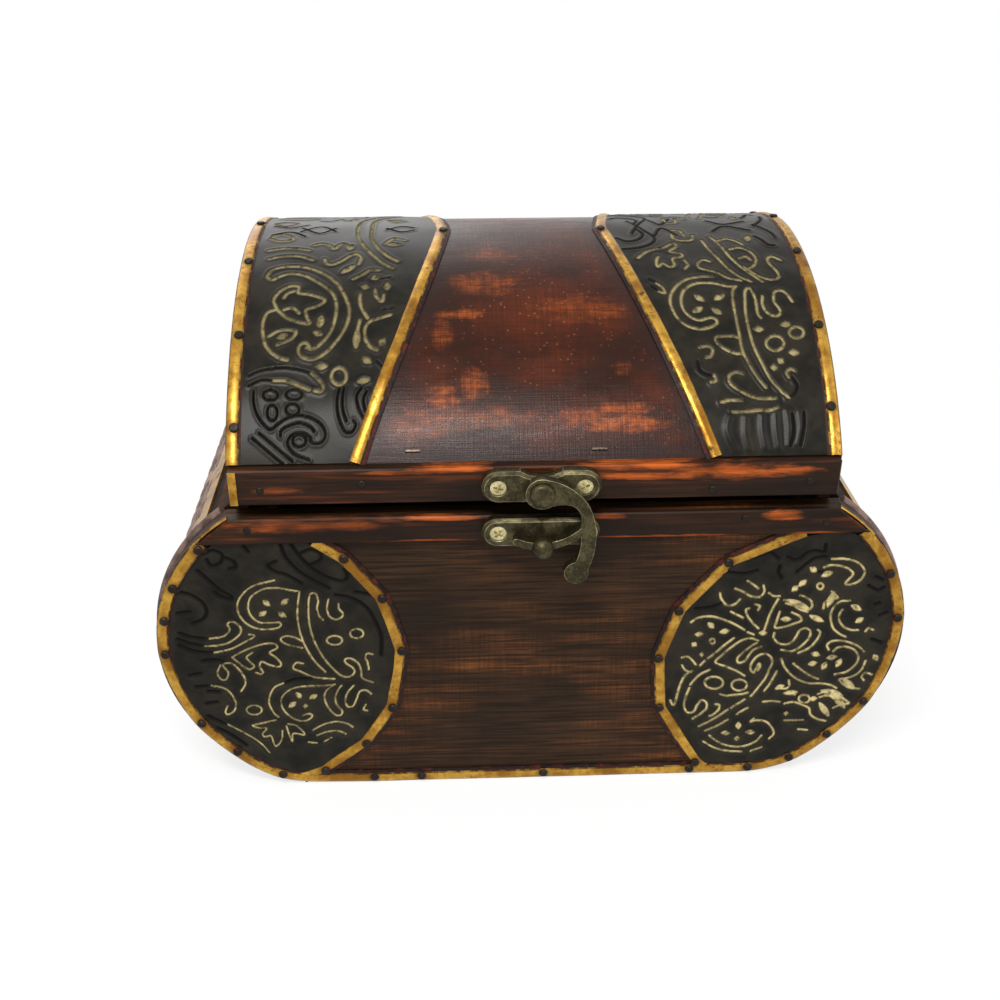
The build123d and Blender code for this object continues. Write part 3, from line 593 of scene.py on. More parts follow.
def floor_finish(shadow_share, shadow_reach, white_from):
    """White where it is seen, apart from a share of its own shading near the box's shadow."""
    material, tree = start_finish("floor")
    matt = tree.node("ShaderNodeBsdfDiffuse", {}, {"Color": (0.94, 0.94, 0.94, 1)})
    white = tree.node("ShaderNodeEmission", {}, {"Color": (1, 1, 1, 1), "Strength": 1.0})
    across, back, up = axes(tree)
    share = shadow_share * diagonal(across, back).rise(white_from, shadow_reach)
    factor = seen_directly(tree) * (1 - share)
    surface = tree.node("ShaderNodeMixShader", {}, {0: factor, 1: matt, 2: white})
    tree.node("ShaderNodeOutputMaterial", {}, {"Surface": surface})
    return material


def new_object(name, bm):
    """Turn a bmesh into an object."""
    mesh = bpy.data.meshes.new(name)
    bm.to_mesh(mesh)
    bm.free()
    piece = bpy.data.objects.new(name, mesh)
    bpy.context.scene.collection.objects.link(piece)
    return piece


floor_size = 6.0
bm = bmesh.new()
bmesh.ops.create_grid(bm, x_segments=1, y_segments=1, size=floor_size)
floor = new_object("floor", bm)
floor.data.materials.append(floor_finish(shadow_share=0.25, shadow_reach=0.1, white_from=0.28))
white_world(fill=0.55)
print("floor:", 2 * floor_size, "m wide")

# %% Lights
light_aim = Vector((0, 0, 60)) * mm


def soft_light(name, place, width, height, power):
    """An oblong area light that faces the box; its place is in millimetres."""
    data = bpy.data.lights.new(name, "AREA")
    data.shape = "RECTANGLE"
    data.size = width
    data.size_y = height
    data.energy = power
    light = bpy.data.objects.new(name, data)
    bpy.context.scene.collection.objects.link(light)
    light.location = Vector(place) * mm
    light.rotation_euler = (light_aim - light.location).to_track_quat("-Z", "Y").to_euler()


soft_light("key", (-150, -480, 800), width=0.42, height=0.13, power=5.6)
soft_light("fill_right", (700, -350, 420), width=0.6, height=0.6, power=2)
soft_light("back", (-300, 700, 500), width=0.7, height=0.7, power=2)
bpy.context.scene.view_settings.view_transform = "Standard"
print("lights:", [item.name for item in bpy.data.lights])

# %% [markdown]
# ## The box's two curved surfaces
# Nearly everything that dresses the box lies flat on the front board or bends over the lid. So
# two small functions say where a point of each surface is: across, along, and how far it is
# lifted off the wood. The outline of the front is the one that the boards were cut to, two arcs
# and a straight stretch, worked out from the boards' own box.

# %% Sizes of the front and of the lid
board_low, board_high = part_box("front_board")
lid_rail_low, lid_rail_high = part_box("lid_front_rail")
board_face = -board_low.y
board_reach = board_high.x
rim_height = board_high.z
rail_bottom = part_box("front_rail")[0].z
lid_reach = lid_high.x

widest_height = 0.5405 * rim_height
bulge_overhang = 20.4 * mm
foot_radius = 28 * mm
rim_drop = rim_height - widest_height
bulge_radius = (bulge_overhang**2 + rim_drop**2) / (2 * bulge_overhang)
bulge_x = board_reach - bulge_radius
slope_share = sqrt(0.5)
foot_x = bulge_x + (bulge_radius - foot_radius) / slope_share - (widest_height - foot_radius)

dome_edge = dome_radius * acos((lid_rail_high.z - dome_centre) / dome_radius)
trim_thickness = 1.0 * mm
leather_thickness = 0.6 * mm
trim_width = 3.8 * mm
lid_trim_width = 4.0 * mm
print("dome radius:", round(dome_radius / mm, 1), "mm, foot at", round(foot_x / mm, 1), "mm")


# %% Places on the front and on the lid
path_spacing = 0.6 * mm


def on_board(x, height, lift):
    """Points on the front board, lifted off it; all three may be arrays."""
    x, height, lift = np.broadcast_arrays(x, height, lift)
    return np.stack((x, -board_face - lift, height), axis=-1)


def on_dome(x, along, lift):
    """Points on the lid; along is the way over the top, negative towards the front."""
    x, along, lift = np.broadcast_arrays(x, along, lift)
    angle = along / dome_radius
    reach = dome_radius + lift
    return np.stack((x, reach * np.sin(angle), dome_centre + reach * np.cos(angle)), axis=-1)


def outline_reach(height, inset):
    """Half width of the front's outline at each height, drawn in by inset."""
    radius = bulge_radius - inset
    small = foot_radius - inset
    bulge = bulge_x + np.sqrt(np.maximum(radius**2 - (height - widest_height) ** 2, 0))
    foot = foot_x + np.sqrt(np.maximum(small**2 - (height - foot_radius) ** 2, 0))
    slope_top = widest_height - radius * slope_share
    slope_foot = foot_radius - small * slope_share
    slope = bulge_x + radius * slope_share - (slope_top - height)
    return np.where(height > slope_top, bulge, np.where(height < slope_foot, foot, slope))


def arc(x, height, radius, start, end):
    """Points down an arc round a middle, from one angle to another."""
    angles = np.linspace(start, end, ceil((start - end) * radius / path_spacing))
    return np.stack((x + radius * np.cos(angles), height + radius * np.sin(angles)), 1)


def outline_path(inset, start_height):
    """Points down the outline's right side from a height to the middle of the base."""
    radius = bulge_radius - inset
    start = asin((start_height - widest_height) / radius)
    bulge = arc(bulge_x, widest_height, radius, start, -pi / 4)
    foot = arc(foot_x, foot_radius, foot_radius - inset, -pi / 4, -pi / 2)
    slope_length = np.linalg.norm(foot[0] - bulge[-1])
    slope = np.linspace(bulge[-1], foot[0], max(2, ceil(slope_length / path_spacing)))
    base = np.linspace(foot[-1], (0, inset), ceil(foot_x / path_spacing))
    return np.concatenate((bulge, slope[1:-1], foot, base[1:]))


print("points down one side of the outline:", len(outline_path(0.0, rim_height)))

# %% [markdown]
# ## Skins
# Leather, brass and cane are all closed skins: a section that runs round, carried along a line.
# A grid made by one operator is folded into each of them. Its columns go round the section, its
# rows go along, the seam is merged and the two ends are filled. Numbers such as gilt or band are
# kept on the points as the grid is folded.

# %% Fold a grid into a closed skin
merge_distance = 0.002 * mm


def add_skin(bm, columns, rows, fold):
    """Add one closed skin; fold turns shares round and along into points and named numbers."""
    start = len(bm.verts)
    bmesh.ops.create_grid(bm, x_segments=columns, y_segments=rows, size=1.0)
    bm.verts.ensure_lookup_table()
    shares = np.array([vert.co[:2] for vert in bm.verts[start:]]) / 2 + 0.5
    points, numbers = fold(shares[:, 0], shares[:, 1])
    for name in numbers:
        if bm.verts.layers.float.get(name) is None:
            bm.verts.layers.float.new(name)
    bm.verts.ensure_lookup_table()
    verts = bm.verts[start:]
    for vert, point in zip(verts, points.tolist()):
        vert.co = point
    for name, values in numbers.items():
        layer = bm.verts.layers.float[name]
        for vert, value in zip(verts, values.tolist()):
            vert[layer] = value


def index_of(share, count):
    """Whole number of a grid's row or column, from its share of the way."""
    return np.rint(share * (count - 1)).astype(int)


def closed_object(name, bm):
    """Merge the skins' seams, fill their open ends, turn every face outwards: a new piece."""
    bmesh.ops.remove_doubles(bm, verts=bm.verts, dist=merge_distance)
    edges = [edge for edge in bm.edges if edge.is_boundary]
    bmesh.ops.holes_fill(bm, edges=edges, sides=0)
    bmesh.ops.recalc_face_normals(bm, faces=bm.faces)
    return new_object(name, bm)


print("points closer than", merge_distance / mm, "mm are merged")


# %% Set a piece, and repeat it on the other side
def set_piece(piece, body, material, replaced=(), crease=35):
    """Shade a piece, give it its finish and tie it to the measured model."""
    piece.data.materials.clear()
    piece.data.materials.append(material)
    piece.data.polygons.foreach_set("use_smooth", [True] * len(piece.data.polygons))
    piece.data.set_sharp_from_angle(angle=radians(crease))
    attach(piece, body)
    if replaced:
        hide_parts(*replaced)
    print(piece.name, len(piece.data.polygons), "faces")


def mirrored(piece, name, axis):
    """A copy of a piece on the other side of the box, across axis 0 or 1."""
    bm = bmesh.new()
    bm.from_mesh(piece.data)
    factors = [1, 1, 1]
    factors[axis] = -1
    bmesh.ops.scale(bm, vec=factors, verts=bm.verts)
    bmesh.ops.reverse_faces(bm, faces=bm.faces)
    return new_object(name, bm)


def set_front_and_back(front, material, node, crease=35):
    """Set a piece of the front and its copy on the back, which is named alike."""
    back = mirrored(front, front.name.replace("front", "back"), 1)
    set_piece(front, "box", material, [node], crease)
    set_piece(back, "box", material, [node.replace("front", "back")], crease)


# %% [markdown]
# ## The pressed pattern
# Scrolls, four-petal flowers, rings and palmettes of a common kind are pressed into the leather.
# Each patch has a drawing: short lists of points along the scrolls, read off a close-up of the
# photograph, ten close-up pixels to the unit. A smooth curve goes through each list. The
# sight line of every point then lands on the leather, so the drawing lies where the
# photograph has it and still belongs to the surface when it is seen from elsewhere.

# %% Drawings of the four patches
# A drawing has a strength and width of gold, a softness of plain lines, the corner and unit of
# its close-up in the picture's pixels, gilt scrolls, plain scrolls, petals (middle, half length,
# turn and, where it is wide, how wide), rings (middle, half width and half height) and folds.
left_front_drawing = {
    "gold": 0.9,
    "width": 0.88,
    "soft": 1.2,
    "corner": (170, 535),
    "unit": 1.5306,
    "gilt": (
        ((68, 29.8), (55, 33), (48, 38), (44, 45), (45, 52), (50, 58), (58, 61.5), (67, 61.5),
         (72, 60), (71.5, 57.3), (66, 57.5), (58, 57), (53, 53), (51, 48), (52, 42), (56, 38),
         (62, 35.2), (70, 34.8), (78, 36.2), (84.5, 37)),
        ((84.5, 37), (83.5, 45), (83.2, 53), (84.5, 62), (88, 72), (94, 82), (101.5, 89.5)),
        ((100, 55.5), (97.5, 53), (96, 48), (96.8, 43), (95, 38.5), (91.5, 39), (90.5, 44),
         (90.5, 52), (91.5, 60), (94.5, 70), (100, 80), (106, 87), (112, 92), (117, 92.8),
         (120.5, 90), (119.5, 87), (115, 84), (114.5, 81.5), (118, 80.8), (123, 84), (125, 89),
         (125.5, 93.5), (133, 96.5)),
        ((103.5, 42), (102.5, 48), (104, 53), (108, 55.2), (112, 54), (113, 51.5), (110.5, 48.5),
         (110, 45)),
        ((132.5, 78), (129, 77.5), (127.5, 80), (129, 83), (130, 88)),
        ((86.5, 73.8), (81, 72.8), (75, 71), (72.2, 68.2), (76, 66.2), (82, 67.2), (87, 70)),
        ((26, 67.8), (35, 66.2), (39, 62), (37.5, 58.5), (39.5, 56.8), (43, 57.5), (46.2, 61),
         (45.5, 65), (40, 69.5), (33, 72), (23, 72.8)),
        ((29, 77), (40, 74.5), (49, 70), (54.5, 67), (54.5, 65.5), (51.5, 65)),
        ((40.5, 80), (47, 76.5), (54, 73.5), (62, 71.2), (68, 71.2), (70, 74), (65, 77),
         (69, 80), (72.5, 84), (71, 86.2), (65, 85), (60, 83), (58.5, 86), (60.8, 90), (59, 91),
         (56, 90)),
        ((40.5, 80), (44, 83), (48, 86), (52, 88), (55, 86), (52, 83), (50, 80), (54, 77)),
        ((33, 85), (31, 90), (33, 94), (36.5, 94.5), (38, 90), (34.5, 85), (40, 84), (45, 88),
         (49, 94), (49, 98), (46.5, 102)),
        ((27, 98.5), (35, 100), (40, 104), (43, 110), (42, 115), (38, 117.5), (36.2, 116),
         (37.5, 112)),
        ((71, 119), (68, 116.5), (65, 111), (65, 106), (68, 100), (74, 97)),
        ((107.5, 97.8), (100, 98.5), (90, 98.8), (82, 100), (76, 103), (72.5, 108), (74, 114),
         (79, 119), (85, 121.5), (90, 121), (93, 118.5), (91, 116.8), (87, 118)),
        ((87, 84), (82.5, 83.5), (80.5, 87), (85, 89), (93, 92.5), (100, 93.5), (107.5, 94)),
        ((107.5, 97.5), (102, 102), (101, 107), (103.5, 113), (108, 117.5), (111.5, 117.8),
         (112.5, 115), (109, 111), (108, 106), (110, 101), (112, 98.5)),
        ((120, 98.5), (116, 103), (114.5, 108), (116, 112), (119.5, 112), (122, 107),
         (124, 102.5), (128, 101.5), (131.5, 104)),
        ((128, 111), (126.5, 114), (129, 115)),
        ((69, 121), (60, 123), (54, 124.5), (58, 126), (63, 126.5), (60.5, 130), (62, 132),
         (66, 131.5), (68, 137), (70, 138), (73, 134), (73.5, 128)),
        ((76, 125), (78, 131), (80, 135), (80.5, 130), (88, 130.5), (83, 125), (77, 123.5)),
        ((93.5, 127.5), (100, 124), (108, 122), (115, 123), (119.5, 125.5)),
        ((96, 131), (103, 128.5), (110, 128), (115, 130)),
        ((90.5, 135.5), (96, 136)), ((101, 135), (105.5, 132.5)),
        ((38, 124), (50, 130), (59, 136), (65, 142.5)),
    ),
    "plain": (
        ((72, 6), (76, 15), (85, 24), (95, 30), (104, 34.5)),
        ((79, 6), (84, 13), (92, 21), (102, 27), (112, 30), (116, 27), (114, 22)),
        ((85, 12), (92, 9.5), (98, 12), (98.5, 16), (93, 19), (90, 19)),
        ((69, 17), (64, 20), (69, 24), (76, 26), (86, 31.5)),
        ((48, 7), (51, 11)),
        ((18, 23), (26, 30), (33, 36), (40, 40), (39.5, 42), (33, 40), (29, 37)),
        ((22, 12), (28, 10), (34, 13), (33, 18), (27, 20), (24, 16)),
        ((36, 15), (41, 17), (43, 21), (39, 22)),
        ((4, 37), (13, 39), (21, 44), (24, 50), (21.5, 55), (15, 57.5)),
        ((5, 51), (13, 50)),
        ((108, 39), (118, 41), (128, 47), (134, 56), (138, 66), (138, 78)),
        ((121, 37), (134, 39.5)), ((6, 64), (15, 66.8), (26, 67.8)),
        ((5, 68), (12, 70.5), (23, 72.8)), ((6, 72), (16, 75.8), (29, 77)),
        ((21.5, 82), (30, 81.5), (36, 83)), ((13, 91.5), (20, 90)), ((17, 99), (27, 98.5)),
        ((25, 102), (32, 102.2)), ((24, 110), (31, 109)), ((25, 118), (38, 124)),
        ((29, 125), (40, 130), (50, 137)), ((74, 97), (82, 94), (92, 93.5)),
    ),
    "petals": (
        (62.8, 44.5, 2.6, -35), (75, 43.8, 2.6, 35), (60.5, 51.5, 2.4, 30),
        (73.2, 52.2, 2.8, -30), (84, 105, 2, -50), (93.5, 106, 2.4, 30), (80, 111, 2.4, 35),
        (88.5, 112, 1.2, 0),
    ),
    "rings": ((107.5, 69, 5, 3), (122, 64.5, 4.4, 3), (55, 114.5, 5, 3)),
}
right_front_drawing = {
    "gold": 1.0,
    "width": 1.15,
    "soft": 1.2,
    "corner": (665, 535),
    "unit": 1.5306,
    "gilt": (
        ((109, 15.7), (116, 15.5), (124, 17), (129, 20.5), (130.5, 25), (127, 30), (121, 32.5),
         (118, 31.5), (121, 28), (123, 25), (120, 22), (114, 20), (108, 19.7), (104, 21)),
        ((109, 37), (113, 41), (108, 42), (104.5, 44), (103.5, 48)),
        ((78, 42.5), (83, 43.5), (87, 46), (92, 48.5), (95.5, 47.5), (96, 44), (93, 41),
         (88.5, 39.5)),
        ((79, 44.5), (84, 46), (88, 48.5), (93, 50)),
        ((121, 43), (115, 43.5), (111, 46.5), (108.5, 51), (108.5, 56), (110, 61), (114, 64.5),
         (118, 66.5)),
        ((116, 49), (114, 52), (114, 56), (117, 60), (122, 62), (126, 62)),
        ((131, 63), (133, 61), (136, 62)),
        ((74, 42), (71, 47), (68, 53), (66, 59), (65, 62)),
        ((75, 50), (73, 56), (72, 60.5), (78, 60), (84, 58), (89, 56), (88, 53), (83, 50.5)),
        ((71.5, 64), (71, 67), (74, 70.5), (79, 71.5), (83, 70), (86, 66), (88, 62.5), (92, 61),
         (95, 63), (94.5, 67), (91, 71), (87, 74), (82, 76), (76, 75)),
        ((100, 62), (101.5, 64), (99, 69), (94, 74), (87, 77)),
        ((17, 57), (22, 54), (30, 53), (38, 55), (45, 58), (52, 62)),
        ((54, 63.5), (58, 65)),
        ((28, 80.5), (33, 77), (39, 72), (45, 67.5)),
        ((61, 69), (56, 67.5), (50, 69), (44, 73), (38, 78), (33, 83), (40, 86), (47, 89),
         (52, 92)),
        ((60, 70.5), (56, 73), (51, 77), (47.5, 80.5), (48, 83.5), (52, 82.5), (55, 78.5),
         (58, 75), (63, 73)),
        ((60.5, 88.5), (62, 86), (61.5, 84), (59, 88), (58, 90), (56, 88), (56.5, 84),
         (60, 79.5), (65, 77.5), (69, 79.5), (70, 83.5), (68, 88), (66, 93), (64, 96), (60, 101),
         (56, 105.5)),
        ((73, 89), (71, 93), (68, 98), (65, 102)), ((26, 82), (23, 85)),
        ((29, 88), (23, 91), (19, 95), (16.5, 98)),
        ((18, 88.5), (13, 92), (10, 98), (8, 104), (6.5, 110), (5, 111), (3.5, 108)),
        ((16, 100), (13.5, 106), (12.5, 112), (15, 116), (19, 115), (21, 111), (24, 108),
         (27, 109.5), (27, 113), (24, 116), (18, 120)),
        ((33, 110.5), (35.5, 111), (35, 114), (31, 117.5), (29, 118)),
        ((22, 125), (28, 122), (35, 118), (41, 114)),
        ((26, 128), (33, 125), (41, 120.5)), ((43, 113), (48, 110), (52, 107.5)),
        ((47, 117), (51, 114.5), (54, 113)),
        ((58, 120), (56, 122), (60, 121), (66, 122), (70, 126), (71, 130), (68, 133)),
        ((29, 131), (34, 135), (42, 138), (51, 138), (59, 135), (63, 131)),
        ((25, 135), (32, 139), (40, 141), (50, 141.5)),
        ((56, 141), (63, 138.5)),
        ((76, 81), (78, 86), (82, 91), (88, 95), (95, 97), (102, 97), (108, 98), (112, 100)),
        ((84, 84), (89, 88), (95, 92), (100, 94)),
        ((107, 75), (106, 72), (109, 69.5), (114, 69), (120, 70), (126, 72.5), (130, 76)),
        ((110, 76), (113, 73.5), (118, 73), (123, 74.5), (126, 78), (126, 82), (123, 86),
         (118, 89.5), (111, 91)),
        ((131, 82), (129, 87), (125, 91), (119, 93.5), (114, 94.5), (117, 98), (121, 100),
         (127, 100.5)),
        ((135, 91), (131, 90), (128.5, 92.5), (130, 95)),
        ((81, 95), (81, 99), (78, 100.5), (73, 100)),
        ((100, 104), (106, 102.5), (113, 105), (118, 108), (120, 110), (115, 111), (110, 113)),
        ((101, 106), (107, 105), (112, 108), (116, 109.5)),
        ((78, 110), (84, 109), (90, 111), (94, 113), (95, 117), (99, 120), (105, 121.5)),
        ((64, 109), (70, 108.5), (75, 109)), ((80, 103.5), (85, 104)),
        ((78, 121), (84, 121), (90, 121)), ((87, 127), (93, 127.5)),
        ((36, 38), (37, 42), (41, 46), (46, 45), (49, 42)),
        ((46, 35), (51, 37), (56, 40), (62, 40.5), (65, 37), (64.5, 33)),
        ((54, 30), (58, 32.5), (61, 35)), ((68, 38), (71, 40), (75, 40)),
        ((61, 49), (62, 46.5), (59, 45.5)),
        ((55, 48), (53, 49), (54, 53), (57, 57), (61, 61)),
        ((43, 50), (47, 52), (51, 54)),
        ((11, 80), (15, 79.5), (18, 82), (20, 84.5)),
        ((11, 85), (13, 88), (17, 90)),
        ((36, 104), (40, 105), (44, 104.5), (50, 104), (54, 103)),
    ),
    "plain": (
        ((75, 20), (74, 24), (76, 28)), ((56, 10), (50, 16), (44, 19)),
        ((80, 14), (86, 16), (92, 12), (98, 10), (104, 11), (105, 6)),
        ((137, 45), (140, 44)), ((138, 27), (142, 29)), ((140, 52), (145, 50)),
        ((135, 68), (141, 70)), ((60, 14), (68, 11), (74, 15)), ((40, 24), (52, 25), (60, 23)),
        ((20, 48), (30, 47), (38, 44)), ((100, 24), (108, 24)),
        ((86, 24), (92, 19), (98, 15), (105, 14)), ((133, 33), (139, 36), (143, 34)),
    ),
    "petals": (
        (106, 25.5, 3.4, 20), (97, 22.5, 2, -30), (90, 31.5, 2.6, 40), (85, 35, 2, 40),
        (99, 54.5, 4.4, -25), (125, 47.5, 3, -25), (127, 55.5, 2.4, 30), (79, 55, 2.8, 0),
        (30, 59, 2, -45), (22.5, 65, 2.2, 0), (39, 63, 2.8, 10), (19, 71.5, 1.2, -30),
        (24, 78, 0.8, 0), (64, 64, 2, 0), (98.5, 78, 2.2, -15), (109, 80, 2.8, 10),
        (96.5, 84, 2.4, 10), (104, 85.5, 2.2, 60), (113.5, 83.5, 2.6, 60), (137.5, 80, 1.6, -60),
        (75, 99.5, 2.6, 20), (79, 116.5, 0.8, 0), (48, 124.5, 1.8, 90), (39.5, 129.5, 2.4, 0),
        (55.5, 129, 2.4, 0), (47, 133, 1.4, 0), (97, 107, 2, 10), (109, 103.5, 7, -14, 1.9),
        (114, 109, 5, -50, 1.3), (104, 114, 5, -55, 1.2), (87, 45, 7, -22, 1.2),
        (108.5, 42, 5, 65, 1.3), (120, 97, 5, -40, 1.1), (82, 103, 4, 5, 0.9),
    ),
    "rings": (
        (101.5, 33.5, 2, 2), (32, 96.5, 6, 4), (48.5, 98, 5, 3.6), (31, 69.5, 1.6, 1.6),
        (91, 107, 3.6, 2.6),
    ),
}
left_lid_drawing = {
    "gold": 0.45,
    "width": 1.55,
    "soft": 0.62,
    "corner": (235, 205),
    "unit": 1.6903,
    "gilt": (
        ((19, 42), (22, 38.5), (30, 36.5), (40, 36.5), (48, 38.5), (55, 42), (61, 47.5),
         (65, 54), (67.5, 61), (67, 68), (64, 75), (59, 82), (53, 88), (46, 91.5), (40, 90.5),
         (37.5, 87), (38.5, 83), (42, 82), (44, 84)),
        ((19, 43), (22, 44.5), (27, 42.2), (33, 40.5), (41, 41.5), (48, 45), (54, 49),
         (58.5, 53.5), (60, 60), (59, 68), (56, 76), (51, 82), (46, 85.5), (42, 84.5)),
        ((24, 60), (23, 56), (27, 51), (33, 48), (38, 48.5), (37.5, 52), (44, 53), (51, 55),
         (53, 57), (48, 60), (42, 62), (42.5, 66), (44, 70), (38, 69.5), (31, 67), (26, 63),
         (24, 60)),
        ((29, 55), (31, 52.5), (35, 51)), ((29, 62), (34, 61), (38, 64)),
        ((24, 62), (19, 64), (16.5, 70), (16.5, 76), (18, 83), (22, 88), (27, 91), (31, 92)),
        ((20, 78), (25, 75), (31, 74), (36, 75), (34, 79), (29, 81.5), (25, 83)),
        ((74, 53), (74, 58), (76, 63), (78.5, 67)),
        ((92, 65), (86, 67), (80, 69), (77, 73), (77, 79), (80, 84), (84, 86)),
        ((74, 68), (72.5, 74)),
        ((70, 44), (76, 41), (80, 38.5), (85, 38.5)),
        ((83, 50), (83.5, 54), (87, 57), (88, 53)),
        ((53, 32), (54, 34.5), (58, 35), (63, 33), (68, 30), (72, 29), (74.5, 31), (73, 35)),
        ((20, 27), (28, 26), (36, 26), (44, 27)),
        ((20, 32), (28, 30.5), (38, 30.5), (46, 32.5)),
        ((73, 14), (73, 19), (76, 24), (81, 29), (87, 34), (93, 37)),
        ((81, 15), (81, 20), (84, 25), (90, 30), (96, 33)),
        ((47, 24), (52, 23), (56, 24), (59, 26), (62, 23.5), (65, 23), (68, 26), (69.5, 24)),
        ((22, 19), (28, 17.5), (34, 19), (33, 21), (26, 21.5), (21, 20)),
        ((89, 23), (94, 20), (100, 21)),
        ((45, 99.5), (49, 103), (52, 107), (51, 110.5), (47, 110)),
        ((23, 104), (30, 104), (38, 107), (44, 109.5)),
    ),
    "plain": (
        ((8, 101), (15, 98), (24, 96.5), (33, 96.5), (41, 98), (45, 99.5)),
        ((8, 107), (16, 103.5), (23, 104)),
        ((11, 110), (11, 117), (13, 124), (17, 130), (21, 133), (25, 130), (31, 126),
         (38, 124.5), (45, 126), (51, 130), (53.5, 136), (51, 140.5), (46, 141), (44, 138)),
        ((27, 137), (27, 134), (31, 131), (38, 129), (44, 131), (47, 134)),
        ((44, 151), (36, 148), (32, 144), (31, 140), (34, 136), (40, 135), (45, 138)),
        ((14, 135), (20, 140), (27, 146), (34, 152)),
        ((10, 138), (17, 144), (24, 150), (29, 154)),
        ((62, 108), (60.5, 114), (60.5, 121), (62, 128), (65, 134), (69, 134.5), (71.5, 130),
         (70, 127.5)),
        ((64.5, 108), (63.5, 115), (64, 122), (66, 128)),
        ((75, 108), (72, 113), (73, 120), (76, 126)),
        ((78, 110), (76, 115), (77, 122)), ((86, 44), (92, 43)), ((94, 61), (88, 62)),
        ((84, 92), (88, 96)), ((40, 14), (50, 17), (60, 14)), ((90, 14), (98, 16), (106, 15)),
        ((24, 13), (34, 14), (44, 12)),
    ),
    "petals": (
        (50.5, 69, 3, 80), (49, 76, 2, -20), (72, 79, 5, 85), (83, 43, 1.6, 20),
        (77, 48.5, 1.6, -10), (90, 48, 1.6, 90), (87, 81.5, 1.8, 50), (78, 92, 2.2, -30),
        (28, 78, 2.4, 15), (67, 38, 4, 30), (94, 23.5, 3.4, 0), (51, 95.5, 2.8, 0),
        (76, 104, 3, 10),
    ),
    "rings": (
        (61.5, 101.5, 4.5, 5), (21, 112.5, 4.4, 3), (35, 112, 4.8, 3), (22, 123, 3, 4.6),
        (34, 121, 4, 3.4), (38, 139.5, 4, 3.6),
    ),
}
right_lid_drawing = {
    "gold": 0.56,
    "width": 1.35,
    "soft": 1.0,
    "corner": (590, 205),
    "unit": 1.6581,
    "gilt": (
        ((74, 43.5), (66, 43.5), (58, 45), (52, 49), (48.5, 55), (49, 61), (52, 67), (57, 72),
         (63, 74.5), (70, 74.5), (76, 72), (76, 69), (72, 68), (66, 69.5), (60, 67), (56, 62),
         (55, 56), (57, 51), (62, 48), (68, 47), (76, 47.5), (82, 49), (88, 49)),
        ((88, 49), (86, 52), (86.5, 60), (88, 68), (90, 78), (92, 88), (96, 96), (101, 104),
         (106, 110)),
        ((103, 68), (101, 65), (100, 58), (98.5, 53.5), (96, 50), (93.5, 52), (93.5, 58),
         (94, 66), (96, 76), (99, 86), (104, 96), (109, 105), (115, 112), (120, 116)),
        ((90, 80), (84, 79), (77, 79.5), (76, 82), (80, 86), (86, 89), (91, 90)),
        ((104, 55), (104, 60), (107, 65), (112, 67), (115, 65), (114, 62), (111, 58), (111, 53),
         (114, 51.5), (118, 53), (122, 58)),
        ((124, 100), (121, 99), (118.5, 101), (120, 104)),
        ((92, 102), (88, 101), (84, 103), (84, 107), (87, 110), (92, 113), (97, 115.5),
         (104, 117), (112, 116.5)),
        ((79, 119), (84, 118), (91, 118)),
        ((86, 125), (94, 124.5), (102, 124), (108, 124), (113, 122)),
        ((66, 86), (71, 85), (74, 87), (73, 91), (70, 92)),
        ((75, 103), (76, 106), (73, 107)),
        ((67, 21), (71, 26), (77, 32), (83, 38), (90, 43), (97, 46)),
        ((72, 19), (78, 24), (84, 31), (91, 37), (98, 42), (104, 46)),
        ((72, 34), (68, 33), (65, 35), (66, 38), (71, 39.5), (77, 41), (83, 44), (91, 45.5)),
        ((76, 22), (82, 20.5), (88, 22), (92, 24)),
        ((84, 27), (90, 26), (96, 28), (100, 32), (99, 36), (96, 38)),
        ((90, 32), (94, 31), (97, 33)),
        ((115, 33), (110, 31), (107, 32), (108, 35), (112, 39), (114, 43), (111, 45), (105, 44),
         (99, 41), (93, 37)),
        ((29, 32), (33, 29), (38, 27), (44, 26), (50, 23), (52, 25), (48, 28), (55, 29),
         (55, 31), (50, 32), (51, 36), (48, 37), (44, 35), (41, 37), (40, 34), (41, 31)),
        ((49, 17), (50, 20), (55, 21.5), (61, 21), (62, 18)),
        ((49, 15), (54, 15.5), (57, 19)), ((57, 33), (59, 36), (57, 38.5)),
        ((40, 47), (44, 50), (45, 53), (41, 52)),
    ),
    "plain": (
        ((20, 27), (27, 26.5), (34, 25), (39, 22), (38, 19), (33, 16), (28, 13), (22, 10)),
        ((16, 20), (22, 22), (29, 21), (32, 18), (28, 15)),
        ((36, 45), (40, 47)), ((41, 52), (37, 49)), ((65, 94), (66, 99), (70, 102), (75, 103)),
        ((122, 104), (125, 109), (123, 114), (119, 116)),
        ((99, 19), (103, 21), (107, 24), (111, 24.5)),
        ((34, 9), (42, 12), (47, 9)), ((70, 10), (80, 12), (92, 10)),
        ((98, 12), (108, 16), (112, 20)), ((122, 126), (123, 136), (121, 145)),
        ((129, 125), (129, 134), (127, 145)),
    ),
    "folds": (
        ((84.5, 128), (83, 134), (84.5, 140), (88, 147)),
        ((94, 128), (94, 137), (96, 147)), ((104, 127), (104, 135), (106, 146)),
        ((112, 125), (112.5, 135), (114, 146)), ((119, 124), (120, 133), (120, 145)),
        ((126.5, 125), (127, 134), (125, 144)),
    ),
    "petals": (
        (66, 56, 2.8, -30), (78, 55.5, 2.8, 30), (65, 63, 2.6, 30), (76.5, 64, 2.8, -30),
        (101.5, 75, 2.4, 0), (118, 72, 2.4, 10), (123, 89, 2.4, 0), (111, 98, 1.4, 0),
        (115, 94, 1.2, 60), (95, 20, 1.4, 90),
    ),
    "rings": ((111.5, 83.5, 5.4, 4.4), (124.5, 77, 4.4, 3.4)),
}
print("scrolls on the front:", len(left_front_drawing["gilt"]), len(right_front_drawing["gilt"]))

